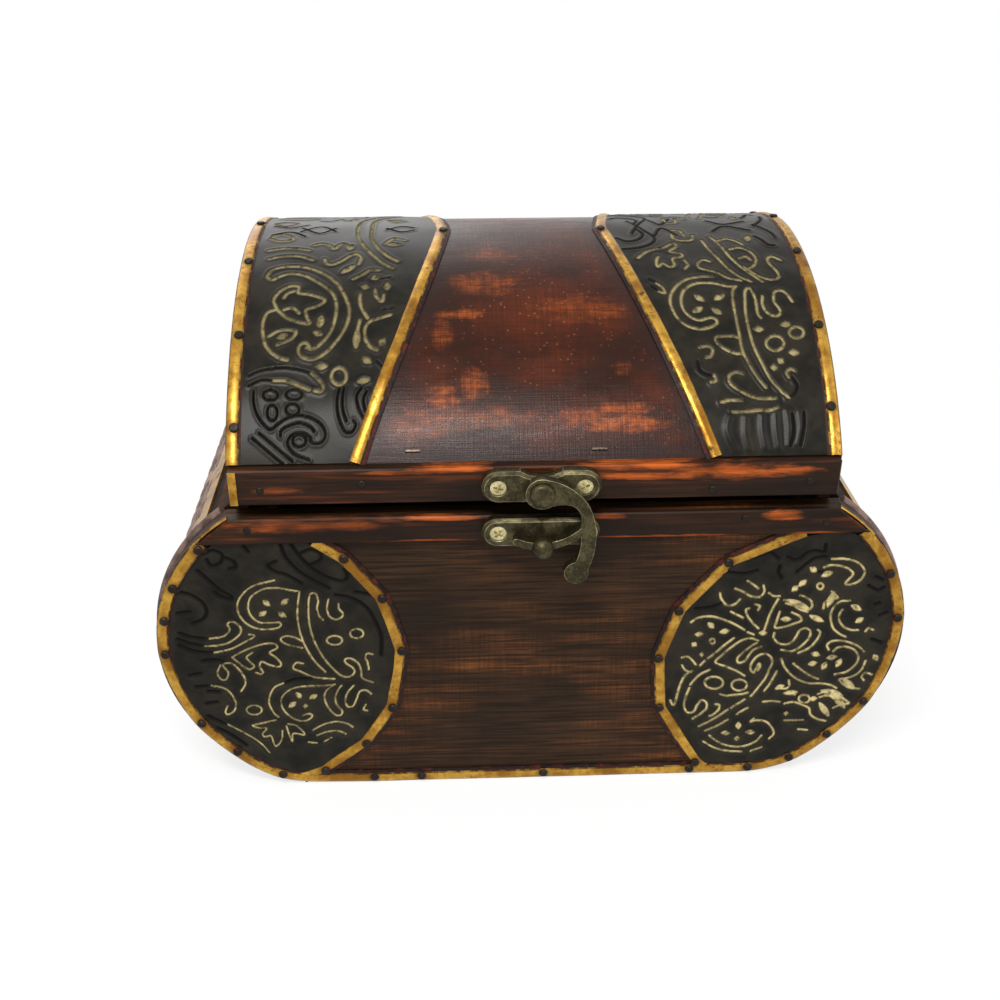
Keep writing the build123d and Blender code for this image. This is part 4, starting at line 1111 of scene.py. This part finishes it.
# %% [markdown]
# ## From a drawing to pressed leather
# A point of a drawing becomes a sight line, and the line is followed to the leather: a plane in
# front, a cylinder on the lid. Then every point of the leather's grid is given its distance from
# the nearest scroll. Near a scroll the leather dips into a groove with slightly raised lips, and
# the distance also says how much gold it holds. A bump map would be quicker to make, but its
# lines would vanish at the leather's edge and cast no shade.


# %% Follow sight lines to the leather
def drawing_ray(point, drawing):
    """The sight line through a point of a drawing."""
    left, top = drawing["corner"]
    return sight_line(left + point[0] * drawing["unit"], top + point[1] * drawing["unit"])


def meet_board(point, drawing):
    """Place on the front, across and up, of a point of a drawing."""
    ray = drawing_ray(point, drawing)
    distance = (-board_face - leather_thickness - camera_place.y) / ray.y
    place = camera_place + distance * ray
    return (place.x, place.z)


def meet_dome(point, drawing):
    """Place on the lid, across and along, of a point of a drawing."""
    ray = drawing_ray(point, drawing)
    radius = dome_radius + leather_thickness
    start = camera_place - Vector((0, 0, dome_centre))
    flat = ray.y**2 + ray.z**2
    half = start.y * ray.y + start.z * ray.z
    inside = max(half**2 - flat * (start.y**2 + start.z**2 - radius**2), 0)
    place = start + (-half - sqrt(inside)) / flat * ray
    return (place.x, atan2(place.y, place.z) * dome_radius)


first_ring = meet_board(left_front_drawing["rings"][0], left_front_drawing)
print("first ring of the left patch:", [round(number / mm, 1) for number in first_ring], "mm")

# %% Curves, ovals and distances
curve_steps = 5
ring_points = 15
no_length = 1e-12


def smooth_line(points):
    """A Catmull-Rom curve through a list of points."""
    points = np.array(points, float)
    if len(points) < 3:
        return points
    ends = np.concatenate((2 * points[:1] - points[1:2], points, 2 * points[-1:] - points[-2:-1]))
    share = np.arange(curve_steps)[:, None] / curve_steps
    pieces = []
    for before, start, end, after in zip(ends, ends[1:], ends[2:], ends[3:]):
        pieces.append(
            start + 0.5 * share * (end - before)
            + share**2 * (before - 2.5 * start + 2 * end - 0.5 * after)
            + share**3 * (1.5 * (start - end) + 0.5 * (after - before))
        )
    return np.concatenate(pieces + [points[-1:]])


def oval(across, down, reach, rise):
    """Points round an oval of a drawing."""
    angles = np.linspace(0, 2 * pi, ring_points)
    return np.stack((across + reach * np.cos(angles), down + rise * np.sin(angles)), axis=1)


def distance_to(line, points, reach):
    """Distance of each point from a line, where it is less than a reach."""
    away = np.full(len(points), reach)
    low = line.min(0) - reach
    high = line.max(0) + reach
    near = np.nonzero(((points > low) & (points < high)).all(1))[0]
    chosen = points[near]
    best = np.full(len(near), reach)
    for start, end in zip(line, line[1:]):
        step = end - start
        share = np.clip(((chosen - start) @ step) / max(step @ step, no_length), 0, 1)
        best = np.minimum(best, np.linalg.norm(chosen - start - share[:, None] * step, axis=1))
    away[near] = best
    return away


print("points round a ring:", len(smooth_line(oval(0, 0, 1, 1))))

# %% Groove depth and gold at every point of a patch
groove_width = 0.28 * mm
# Half width of the painted shade round each groove
groove_shade_width = 0.5 * mm
groove_depth = 0.32 * mm
lip_height = 0.12 * mm
lip_place = 0.78 * mm
lip_width = 0.36 * mm
fold_width = 0.85 * mm
fold_height = 0.34 * mm
groove_reach = 3.0 * mm
line_gold_width = 0.25 * mm
gold_haze = 0.02
haze_width = 0.9 * mm
petal_half_width = 0.5 * mm
# Rings lower down a drawing of the lid than this hold no gold
plain_rings_from = 105


def press(points, drawing, meet, back_copy):
    """Lift, gold and groove of a patch's points; back_copy repeats them beyond the lid's top."""
    lift, gilt, dip = np.zeros((3, len(points)))

    def lines(drawn):
        line = smooth_line([meet(point, drawing) for point in drawn])
        return [line, line * (1, -1)] if back_copy else [line]

    def dent(away, gold, soft=1.0):
        groove = groove_depth / soft * np.exp(-((away / (groove_width * soft)) ** 2))
        lip = lip_height * np.exp(-(((away - lip_place * soft) / lip_width) ** 2))
        np.minimum(lift, lip - groove, out=lift, where=groove > lip)
        np.maximum(lift, lip, out=lift, where=(groove <= lip) & (lift >= 0))
        # Painted shade in the groove and past its gold on both sides
        np.maximum(dip, np.exp(-((away / (groove_shade_width * soft)) ** 4)), out=dip)
        line_gold = np.exp(-((away / (line_gold_width * drawing["width"])) ** 4))
        haze = gold_haze * np.exp(-((away / haze_width) ** 2))
        np.maximum(gilt, gold * np.maximum(line_gold, haze), out=gilt)

    def stroke(drawn, gold, soft=1.0):
        for line in lines(drawn):
            dent(distance_to(line, points, groove_reach), gold, soft)

    def petal(across, down, reach, turned, wide=1):
        step = (reach * cos(radians(turned)), -reach * sin(radians(turned)))
        ends = ((across - step[0], down - step[1]), (across + step[0], down + step[1]))
        for first, last in lines(ends):
            half = np.linalg.norm(last - first) / 2
            ahead = (last - first) / (2 * half)
            offset = points - (first + last) / 2
            along = offset @ ahead
            aside = np.abs(offset @ (-ahead[1], ahead[0]))
            rim = petal_half_width * wide * np.clip(1 - (along / half) ** 2, 0, 1)
            away = np.hypot(np.maximum(np.abs(along) - half, 0), np.maximum(aside - rim, 0))
            dent(away, drawing["gold"])

    for drawn in drawing.get("folds", ()):
        for line in lines(drawn):
            away = distance_to(line, points, groove_reach)
            np.maximum(lift, fold_height * np.exp(-((away / fold_width) ** 2)), out=lift)
    for drawn in drawing["plain"]:
        stroke(drawn, 0.0, drawing["soft"])
    for drawn in drawing["gilt"]:
        stroke(drawn, drawing["gold"])
    for shape in drawing["petals"]:
        petal(*shape)
    for across, down, reach, rise in drawing["rings"]:
        ring = oval(across, down, reach, rise)
        if back_copy and down > plain_rings_from:
            stroke(ring, 0.0, drawing["soft"])
        else:
            stroke(ring, drawing["gold"])
    return lift, gilt, dip


print("grooves are pressed", round(groove_depth / mm, 2), "mm deep")

# %% [markdown]
# ## Leather on the boards
# Each patch lies between the brass strip on the outline and a round strip. Its grid's rows are
# level and reach from one strip to the other, so the mesh has clean edges and no cut cells. It
# runs a little way under both strips. The back's patches are the front's, mirrored, because the
# photograph doesn't show them and such boxes are made with both faces alike.

# %% The surface of any leather
most_lift = 0.3 * mm
under_strip = 0.4 * mm
# A flat skin has three more columns than its face: down one edge, across below, up the other
underside = 3


def puckers(points, size, depth):
    """Gentle unevenness of stretched leather, as a sum of a few waves."""
    across, up = points[:, 0] / size, points[:, 1] / size
    waves = np.sin(across + 1.7 * np.sin(0.6 * up))
    waves = waves + np.sin(1.3 * up + 1.2 * np.sin(0.8 * across + 1))
    return depth * 0.5 * waves


def across_and_under(around, columns):
    """Share from edge to edge for each column of a flat skin, and which points are underneath."""
    column = np.rint(around * (columns + underside))
    share = np.where(column > columns + 1, 0.0, np.minimum(column / columns, 1.0))
    return share, (column > columns) & (column < columns + underside)


def pressed_surface(flat, under, drawing, meet, back_copy, pucker_size, pucker_depth):
    """Lift and kept numbers of a patch's points; the ones underneath lie on the wood."""
    lift, gilt, dip = press(flat, drawing, meet, back_copy)
    lift = np.clip(lift + puckers(flat, pucker_size, pucker_depth), -groove_depth, most_lift)
    return np.where(under, 0, leather_thickness + lift), {"gilt": gilt, "dip": dip}


print("leather stands", round((leather_thickness + most_lift) / mm, 2), "mm off the wood at most")

# %% Leather on the boards
leather_columns = 240
leather_rows = 290
levels_tried = 400
patch_x = board_reach - 20.5 * mm


def patch_circle(radius_share, rise):
    """Height and radius of a patch's round edge, from the height of the rim."""
    radius = radius_share * rim_height
    return rail_bottom + rise - radius, radius


patches = (
    ("left", -1, patch_circle(radius_share=0.495, rise=5.9 * mm), left_front_drawing),
    ("right", 1, patch_circle(radius_share=0.516, rise=1.1 * mm), right_front_drawing),
)


def board_leather(name, side, patch, drawing):
    """One pressed patch of the front; side is -1 on the left and 1 on the right."""
    height, radius = patch
    inner_radius = radius - trim_width / 2 + under_strip
    inset = trim_width - under_strip
    levels = np.linspace(height - inner_radius, height + inner_radius, levels_tried)
    levels = levels[(levels < rail_bottom) & (levels > inset)]
    chord = np.sqrt(inner_radius**2 - (levels - height) ** 2)
    levels = levels[outline_reach(levels, inset) > patch_x - chord]

    def fold(around, along):
        level = levels[0] + along * (levels[-1] - levels[0])
        half = np.sqrt(np.maximum(inner_radius**2 - (level - height) ** 2, 0))
        inner = patch_x - half
        outer = np.maximum(np.minimum(outline_reach(level, inset), patch_x + half), inner)
        share, under = across_and_under(around, leather_columns)
        x = side * (outer + share * (inner - outer))
        flat = np.stack((x, level), axis=1)
        lift, numbers = pressed_surface(
            flat, under, drawing, meet_board, False, pucker_size=3.2 * mm, pucker_depth=0.1 * mm
        )
        return on_board(x, level, lift), numbers

    bm = bmesh.new()
    add_skin(bm, leather_columns + underside, leather_rows, fold)
    return closed_object(name, bm)


for name, side, patch, drawing in patches:
    front = board_leather(f"pressed_front_{name}", side, patch, drawing)
    set_front_and_back(front, leather, f"front_leather_{name}", 60)

# %% [markdown]
# ## Leather on the lid
# The lid's leather is one long piece from front to back. Seen from above, the brass strip beside
# the bare middle is an arc through three places, so a row's inner edge is read off that arc. The
# photograph shows the front half, whose pattern is repeated beyond the top.

# %% Leather on the lid
lid_leather_columns = 160
lid_leather_rows = 440
lid_end_gap = 0.1 * mm
waist_points = (
    (42 * mm, -lid_depth_half - trim_thickness),
    (29 * mm, -39 * mm),
    (21 * mm, 0.0),
)


def circle_through(first, second, third):
    """Middle and radius of the circle through three points."""
    (ax, ay), (bx, by), (cx, cy) = first, second, third
    scale = 2 * (ax * (by - cy) + bx * (cy - ay) + cx * (ay - by))
    squares = (ax**2 + ay**2, bx**2 + by**2, cx**2 + cy**2)
    x = (squares[0] * (by - cy) + squares[1] * (cy - ay) + squares[2] * (ay - by)) / scale
    y = (squares[0] * (cx - bx) + squares[1] * (ax - cx) + squares[2] * (bx - ax)) / scale
    return x, y, sqrt((ax - x) ** 2 + (ay - y) ** 2)


waist_circle = circle_through(*waist_points)


def waist_reach(along):
    """Half width of the bare middle at each place along the lid."""
    y = -np.abs((dome_radius + trim_thickness) * np.sin(along / dome_radius))
    x, middle, radius = waist_circle
    return x - np.sqrt(radius**2 - (y - middle) ** 2)


def lid_leather(name, side, drawing):
    """The pressed leather on one side of the lid."""

    def fold(around, along):
        way = (2 * along - 1) * (dome_edge - lid_end_gap)
        share, under = across_and_under(around, lid_leather_columns)
        inner = waist_reach(way) + lid_trim_width / 2 - under_strip
        outer = lid_reach - lid_trim_width + under_strip
        x = side * (outer + share * (inner - outer))
        flat = np.stack((x, way), axis=1)
        lift, numbers = pressed_surface(
            flat, under, drawing, meet_dome, True, pucker_size=3.6 * mm, pucker_depth=0.12 * mm
        )
        return on_dome(x, way, lift), numbers

    bm = bmesh.new()
    add_skin(bm, lid_leather_columns + underside, lid_leather_rows, fold)
    piece = closed_object(f"pressed_lid_{name}", bm)
    set_piece(piece, "lid", leather, [f"lid_leather_{name}"], 60)


lid_leather("left", -1, left_lid_drawing)
lid_leather("right", 1, right_lid_drawing)

# %% [markdown]
# ## Brass strips
# The strips are thin sheet with a brassy face and a dark red edge, nailed down by hand, so they
# run straight from nail to nail and dip and darken at each. A strip is a skin whose section is
# low and crowned on the gold side and lower still on the red side. Where the nails are is read
# off the measured model, because its nails stay.

# %% Nails' places
nail_reach = 3.5 * mm


def nail_places(node):
    """Middles of a node's nails, found by gathering the points that lie close together."""
    middles = []
    for vert in nodes[node].data.vertices:
        place = np.array(vert.co)
        for group in middles:
            if np.linalg.norm(group[0] - place) < nail_reach:
                group.append(place)
                break
        else:
            middles.append([place])
    return [(np.min(group, 0) + np.max(group, 0)) / 2 for group in middles]


board_nails = np.array([(x, z) for x, y, z in nail_places("front_trim_nails")])
lid_nails = np.array(
    [(x, atan2(y, z - dome_centre) * dome_radius) for x, y, z in nail_places("lid_trim_nails")]
)
print("nails:", len(board_nails), "in front,", len(lid_nails), "on the lid")


# %% Lines for the strips
kink_reach = 2.5 * mm


def along_line(stops, places, line):
    """Points of a line at some stops, when its own points are at some places."""
    return np.stack([np.interp(stops, places, column) for column in line.T], axis=1)


def even_line(points, spacing=path_spacing):
    """Points at even distances along a line."""
    points = np.asarray(points, float)
    way = np.concatenate(([0], np.cumsum(np.linalg.norm(np.diff(points, axis=0), axis=1))))
    return along_line(np.linspace(0, way[-1], max(2, ceil(way[-1] / spacing))), way, points)


def leftwards_of(line):
    """Directions, one unit long, to the left of a line at each of its points."""
    ahead = np.gradient(line, axis=0)
    ahead = ahead / np.linalg.norm(ahead, axis=1)[:, None]
    return np.stack((-ahead[:, 1], ahead[:, 0]), axis=1)


def kinked(line, nails, share):
    """The same line drawn nearly straight from nail to nail; share 1 makes it quite straight."""
    gaps = np.linalg.norm(line[:, None] - nails[None], axis=2)
    stops = {0, len(line) - 1}
    for column in gaps.T:
        if column.min() < kink_reach:
            stops.add(int(column.argmin()))
    order = np.array(sorted(stops))
    chords = along_line(np.arange(len(line)), order, line[order])
    mixed = line + share * (chords - line)
    weights = np.array((1, 2, 3, 2, 1)) / 9
    soft = np.stack([np.convolve(column, weights, "same") for column in mixed.T], axis=1)
    soft[:2] = mixed[:2]
    soft[-2:] = mixed[-2:]
    return soft


print("a strip kinks at nails within", round(kink_reach / mm, 1), "mm of its line")

# %% A strip along a line
strip_section = (
    (-0.5, 0.0), (-0.5, 0.4), (-0.46, 0.62), (-0.34, 0.86), (-0.1, 1.05), (0.1, 0.98),
    (0.21, 0.78), (0.27, 0.55), (0.34, 0.5), (0.42, 0.48), (0.5, 0.36), (0.5, 0.0), (-0.5, 0.0),
)
stain_reach = 1.5 * mm
dent_depth = 0.14 * mm
wave_height = 0.03 * mm
least_lift = 0.2 * mm


def add_strip(bm, line, width, place, nails, height=1.0):
    """Add a strip whose gold side lies to the left of the line's direction."""
    section = np.array(strip_section)
    leftwards = leftwards_of(line)

    def fold(around, along):
        row = index_of(along, len(line))
        column = index_of(around, len(section))
        across = section[column, 0]
        flat = line[row] - leftwards[row] * (across * width)[:, None]
        away = np.linalg.norm(flat[:, None] - nails[None], axis=2).min(axis=1)
        stain = np.exp(-((away / stain_reach) ** 2))
        lift = section[column, 1] * trim_thickness * height
        wave = wave_height * np.sin(row * 0.11 + 5 * line[0, 0] / mm)
        lift = np.where(lift > 0, np.maximum(lift - dent_depth * stain + wave, least_lift), 0)
        return place(flat[:, 0], flat[:, 1], lift), {"band": across + 0.5, "stain": stain}

    add_skin(bm, len(section) - 1, len(line) - 1, fold)


print("points round a strip:", len(strip_section) - 1)

# %% [markdown]
# ## Where the strips run
# On the boards, one strip follows the outline from rim to rim, and narrows to a sliver beside
# the rail's slanting end. Two round ones edge the patches. On the lid, two run beside the bare
# middle and two along the ends. The gold side is always the one away from the red-brown wood or
# leather that the strip covers, as in the photograph.

# %% Outline strip of the front
rail_end_margin = 0.8 * mm
narrow_below = 1.2 * mm
strip_top = rail_bottom - 0.3 * mm
sliver_top = rim_height - 0.1 * mm
bm = bmesh.new()
for side in (-1, 1):
    line = outline_path(trim_width / 2, strip_top) * (side, 1)
    line = kinked(even_line(line), board_nails, 0.3)
    sliver = outline_path(rail_end_margin / 2, sliver_top)
    sliver = even_line(sliver[sliver[:, 1] > rail_bottom - narrow_below] * (side, 1))
    add_strip(bm, line[::side], trim_width, on_board, board_nails)
    add_strip(bm, sliver[::side], rail_end_margin, on_board, board_nails)
outline_strip = closed_object("outline_strip_front", bm)
set_front_and_back(outline_strip, brass_trim, "front_outline_trim")

# %% Round strips of the front
strip_overlap = 0.3 * mm
round_points = 200


def round_strip(name, side, patch):
    """The strip round the inner edge of a patch, from under the rail to under the outline strip."""
    height, radius = patch
    top = asin(min(1, (rail_bottom + strip_overlap - height) / radius))
    foot = asin(max(-1, (trim_width / 2 - height) / radius))
    angles = np.linspace(top, foot, round_points)
    x = side * (patch_x - radius * np.cos(angles))
    line = np.stack((x, height + radius * np.sin(angles)), axis=1)
    line = kinked(even_line(line), board_nails, 0.85)
    bm = bmesh.new()
    add_strip(bm, line[::side], trim_width, on_board, board_nails, height=0.93)
    return closed_object(name, bm)


for name, side, patch, drawing in patches:
    front = round_strip(f"round_strip_front_{name}", side, patch)
    set_front_and_back(front, brass_trim, f"front_patch_trim_{name}")

# %% Strips of the lid
way_points = 300
for name, side in (("left", -1), ("right", 1)):
    way = np.linspace(-dome_edge, dome_edge, way_points)
    waist = even_line(np.stack((side * waist_reach(way), way), axis=1))
    end = np.full(len(way), side * (lid_reach - lid_trim_width / 2))
    end = kinked(even_line(np.stack((end, way), axis=1)), lid_nails, 0.5)
    for piece_name, node, line in (
        (f"waist_strip_{name}", f"lid_waist_trim_{name}", waist),
        (f"end_strip_{name}", f"lid_end_trim_{name}", end),
    ):
        bm = bmesh.new()
        add_strip(bm, line[::-side], lid_trim_width, on_dome, lid_nails)
        set_piece(closed_object(piece_name, bm), "lid", brass_trim, [node])

# %% [markdown]
# ## Woven ends
# Split cane strips run down each end, round the bulge and under it, and others cross them from
# front to back, over one and under the next. A bump map would look woven from in front only, so
# every strip is a skin of its own, with a low rounded section, that sways in and out of the
# middle of the weave. Pairs of neighbours sway in opposite directions, which is all that weaving
# is. Small dark gaps stay between the strips.

# %% The bulge that the cane is bent round
weave_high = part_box("woven_end_right")[1]
weave_reach = weave_high.y
weave_middle = 1.6 * mm
bulge_spacing = 1.0 * mm
bulge_line = even_line(outline_path(weave_middle, weave_high.z)[:-1], bulge_spacing)
bulge_line = bulge_line[bulge_line[:, 0] > foot_x - 1.0 * mm]
bulge_frame = np.hstack((bulge_line, leftwards_of(bulge_line)))
bulge_steps = len(bulge_line) - 1.0


def on_bulge(way, y, lift):
    """Points of the right end: way is the share of its length downwards."""
    index = np.clip(way, 0, 1) * bulge_steps
    x, z, out_x, out_z = along_line(index, np.arange(len(bulge_frame)), bulge_frame).T
    return np.stack((x + lift * out_x, y, z + lift * out_z), axis=-1)


print("way down the bulge:", round(bulge_steps * bulge_spacing / mm), "mm")

# %% Woven ends
weave_sway = 0.62 * mm
most_lean = 0.5 * mm
lean_waves = 6
cane_width = 5.3 * mm
cane_thickness = 0.62 * mm
cane_section = (
    (-0.5, 0.0), (-0.46, 0.7), (-0.25, 1.0), (0.0, 1.06), (0.25, 1.0), (0.46, 0.7), (0.5, 0.0),
    (0.0, -0.1), (-0.5, 0.0),
)
down_count = 18
across_count = 17
rows_per_crossing = 6


def add_cane(bm, place, sway, tone, rows):
    """Add one strip of cane; place turns along, across and lift into points."""
    section = np.array(cane_section)

    def fold(around, along):
        column = index_of(around, len(section))
        across = section[column, 0]
        swing = sway(along)
        lift = swing + (section[column, 1] - 0.5) * cane_thickness
        # How far the strip lies under its neighbours, which sets its painted shade
        under = 0.5 - 0.5 * swing / weave_sway
        numbers = {"across": across, "tone": np.full(len(across), tone), "under": under}
        return place(along, across, lift), numbers

    add_skin(bm, len(section) - 1, rows, fold)


def tone_of(index, salt):
    """A number between 0 and 1 that looks random but never changes."""
    return (sin(index * 12.9898 + salt * 78.233) * 43758.5453) % 1.0


def woven_end():
    """All the cane of the right end."""
    bm = bmesh.new()
    down_pitch = 2 * weave_reach / down_count
    for index in range(down_count):
        middle = -weave_reach + (index + 0.5) * down_pitch
        lean = most_lean * (tone_of(index, 2) - 0.5)

        def place(along, across, lift, middle=middle, lean=lean):
            y = middle + lean * np.sin(lean_waves * along) + across * cane_width
            return on_bulge(along, y, lift)

        def sway(along, phase=pi * (index % 2)):
            return weave_sway * np.cos(pi * along * across_count - pi / 2 + phase)

        add_cane(bm, place, sway, tone_of(index, 1), rows_per_crossing * across_count)
    across_pitch = 1.0 / across_count
    cane_share = cane_width / (bulge_steps * bulge_spacing)
    for index in range(across_count):

        def place(along, across, lift, middle=(index + 0.5) * across_pitch):
            y = (2 * along - 1) * weave_reach
            return on_bulge(middle + across * cane_share, y, lift)

        def sway(along, phase=pi * (index % 2)):
            return -weave_sway * np.cos(pi * along * down_count - pi / 2 + phase)

        add_cane(bm, place, sway, tone_of(index, 3), rows_per_crossing * down_count)
    return closed_object("woven_cane_right", bm)


right_end = woven_end()
left_end = mirrored(right_end, "woven_cane_left", 0)
set_piece(right_end, "box", wicker, ["woven_end_right"], 50)
set_piece(left_end, "box", wicker, ["woven_end_left"], 50)

# %% [markdown]
# ## Latch
# The latch is a casting whose edges have worn round and bright. The measured plates and hook have
# the right outlines but sharp edges, so a copy of each is merged, its flat faces are joined, and
# its edges are bevelled. The screws get heads with a cross pressed into them: a skin of rings
# round an axis, whose top sinks wherever a point lies inside the cross.

# %% Worn copies of cast pieces
flat_angle = radians(1.5)
sharp_angle = radians(30)


def softened(node, name, width, segments, body):
    """A merged copy of a bronze piece with rounded edges, which takes the piece's place."""
    bm = bmesh.new()
    bm.from_mesh(nodes[node].data)
    worn = bm.verts.layers.float.new("worn")
    bmesh.ops.remove_doubles(bm, verts=bm.verts, dist=merge_distance)
    bmesh.ops.dissolve_limit(
        bm, angle_limit=flat_angle, use_dissolve_boundaries=False, verts=bm.verts, edges=bm.edges
    )
    edges = [edge for edge in bm.edges if edge.is_manifold]
    edges = [edge for edge in edges if edge.calc_face_angle() > sharp_angle]
    made = bmesh.ops.bevel(
        bm, geom=edges, offset=width, segments=segments, profile=0.5, affect="EDGES",
        material=-1, clamp_overlap=True,
    )
    bevel_faces = set(made["faces"])
    for vert in made["verts"]:
        vert[worn] = float(all(face in bevel_faces for face in vert.link_faces))
    bmesh.ops.triangulate(bm, faces=[face for face in bm.faces if len(face.verts) > 4])
    set_piece(new_object(name, bm), body, bronze, [node], 40)


softened("latch_plate", "lid_latch_plate", width=0.35 * mm, segments=2, body="lid")
softened("keeper_plate", "box_latch_plate", width=0.35 * mm, segments=2, body="box")
softened("swing_hook", "worn_hook", width=0.5 * mm, segments=3, body="hook")

# %% Cross-head screws
head_radius = 1.9 * mm
head_height = 0.3 * mm
head_dome = 0.12 * mm
head_rings = 14
neck_radius = 0.95 * mm
neck_starts = 1.2 * mm
point_length = 1 * mm
cross_reach = 1.15 * mm
cross_arm = 0.27 * mm
cross_depth = 0.7 * mm
screw_sides = 64


def add_screw(bm, x, y_face, z, tip_y, turned):
    """Add a screw that looks forwards, its head's rim on y_face and its point at tip_y."""
    length = tip_y - y_face
    rings = [(head_radius * share, 0.0) for share in np.linspace(0, 1, head_rings)]
    rings += [(head_radius, head_height), (neck_radius, neck_starts)]
    rings += [(neck_radius, length - point_length), (0.0, length)]
    rings = np.array(rings)

    def fold(around, along):
        row = index_of(along, len(rings))
        radius, depth = rings[row, 0], rings[row, 1]
        angle = 2 * pi * around
        across, up = radius * np.cos(angle + turned), radius * np.sin(angle + turned)
        arm = (np.abs(across) < cross_arm) | (np.abs(up) < cross_arm)
        cross = cross_depth * (1 - 0.5 * radius / cross_reach)
        top = head_dome * (1 - (radius / head_radius) ** 2)
        face = np.where((radius < cross_reach) & arm, cross, -top)
        y = y_face + np.where(row < head_rings, face, depth)
        return np.stack((x + radius * np.cos(angle), y, z + radius * np.sin(angle)), 1), {}

    add_skin(bm, screw_sides, len(rings) - 1, fold)


def cross_screws(node, name, body, turns):
    """Cross-head screws in place of a node's plain ones."""
    low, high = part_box(node)
    bm = bmesh.new()
    for x, turned in ((low.x + head_radius, turns[0]), (high.x - head_radius, turns[1])):
        add_screw(bm, x, low.y, (low.z + high.z) / 2, high.y, turned)
    set_piece(closed_object(name, bm), body, screw_brass, [node], 30)


cross_screws("latch_screws", "lid_latch_screws", "lid", turns=(0.3, 1.1))
cross_screws("keeper_screws", "box_latch_screws", "box", turns=(0.6, 0.1))

# %% [markdown]
# ## Staples and the lid's end strip
# Two steel staples hold the lid's sheet low on its front, and a narrow slip of brass covers the
# left end of the lid's rail. Both are small bevelled bars, which is all that shows of them.

# %% Staples
bar_edge = 0.12 * mm


def add_bar(bm, middle, size, turned=0.0):
    """Add a bar with rounded edges, turned about X so that it lies on the lid."""
    verts = bmesh.ops.create_cube(bm, size=1.0)["verts"]
    bmesh.ops.scale(bm, vec=size, verts=verts)
    edges = list({edge for vert in verts for edge in vert.link_edges})
    made = bmesh.ops.bevel(
        bm, geom=edges, offset=bar_edge, segments=2, profile=0.5, affect="EDGES", material=-1
    )
    verts = list({vert for face in made["faces"] for vert in face.verts})
    bmesh.ops.rotate(bm, matrix=Matrix.Rotation(turned, 3, "X"), verts=verts)
    bmesh.ops.translate(bm, vec=middle, verts=verts)


staple_steel = metal_finish(
    "staple_steel", paint(74, 60, 50), paint(150, 132, 116), speckle=400, gloss=0.4, metal=0.7
)
staple_places = ((-28.9 * mm, 96.4 * mm), (14.9 * mm, 96.2 * mm))
staple_size = (3.6 * mm, 0.6 * mm, 0.7 * mm)
staple_lift = 0.25 * mm
bm = bmesh.new()
for x, height in staple_places:
    lean = acos((height - dome_centre) / dome_radius)
    middle = on_dome(x, -lean * dome_radius, staple_lift).tolist()
    add_bar(bm, middle, staple_size, pi / 2 - lean)
set_piece(new_object("staples", bm), "lid", staple_steel)

# %% The slip on the rail's end
slip_width = 1.9 * mm
slip_thickness = 0.35 * mm
slip_height = lid_rail_high.z - lid_rail_low.z - 0.4 * mm
slip_middle = (
    lid_rail_low.x + slip_width / 2,
    lid_rail_low.y - slip_thickness / 2,
    (lid_rail_high.z + lid_rail_low.z) / 2,
)
bm = bmesh.new()
add_bar(bm, slip_middle, (slip_width, slip_thickness, slip_height))
set_piece(new_object("rail_end_slip", bm), "lid", plain_brass)

# %% [markdown]
# ## The pieces that stay as they were measured
# Boards, rails, nails, hinges, cane rolls and the lid's sheet already have their real shapes, so
# they keep their meshes and only take a finish.

# %% Finishes of the measured pieces
kept_finishes = (
    (board_wood, ("front_board", "back_board", "bottom_board")),
    (rail_wood, ("front_rail", "back_rail", "lid_front_rail", "lid_back_rail")),
    (side_wood_dark_as_shade, ("side_rail_left", "side_rail_right")),
    (lid_wood, ("lid_dome", "lid_end_left", "lid_end_right")),
    (nail_metal, ("front_trim_nails", "back_trim_nails", "lid_trim_nails")),
    (nail_metal, ("front_rail_brads", "back_rail_brads", "lid_rail_brads")),
    (plain_brass, ("side_strip_left", "side_strip_right")),
    (liner, ("end_liner_left", "end_liner_right")),
    (cane, ("cane_roll_front_left", "cane_roll_front_right")),
    (cane, ("cane_roll_back_left", "cane_roll_back_right")),
    (bronze, ("keeper_knob", "latch_rivet")),
    (hinge_brass, ("hinge_leaf_lower_left", "hinge_leaf_lower_right", "hinge_screws_lower")),
    (hinge_brass, ("hinge_leaf_upper_left", "hinge_leaf_upper_right", "hinge_screws_upper")),
    (hinge_brass, ("hinge_pin_left", "hinge_pin_right")),
)
for material, names in kept_finishes:
    for name in names:
        nodes[name].data.materials.clear()
        nodes[name].data.materials.append(material)
print("measured pieces kept:", sum(len(names) for material, names in kept_finishes))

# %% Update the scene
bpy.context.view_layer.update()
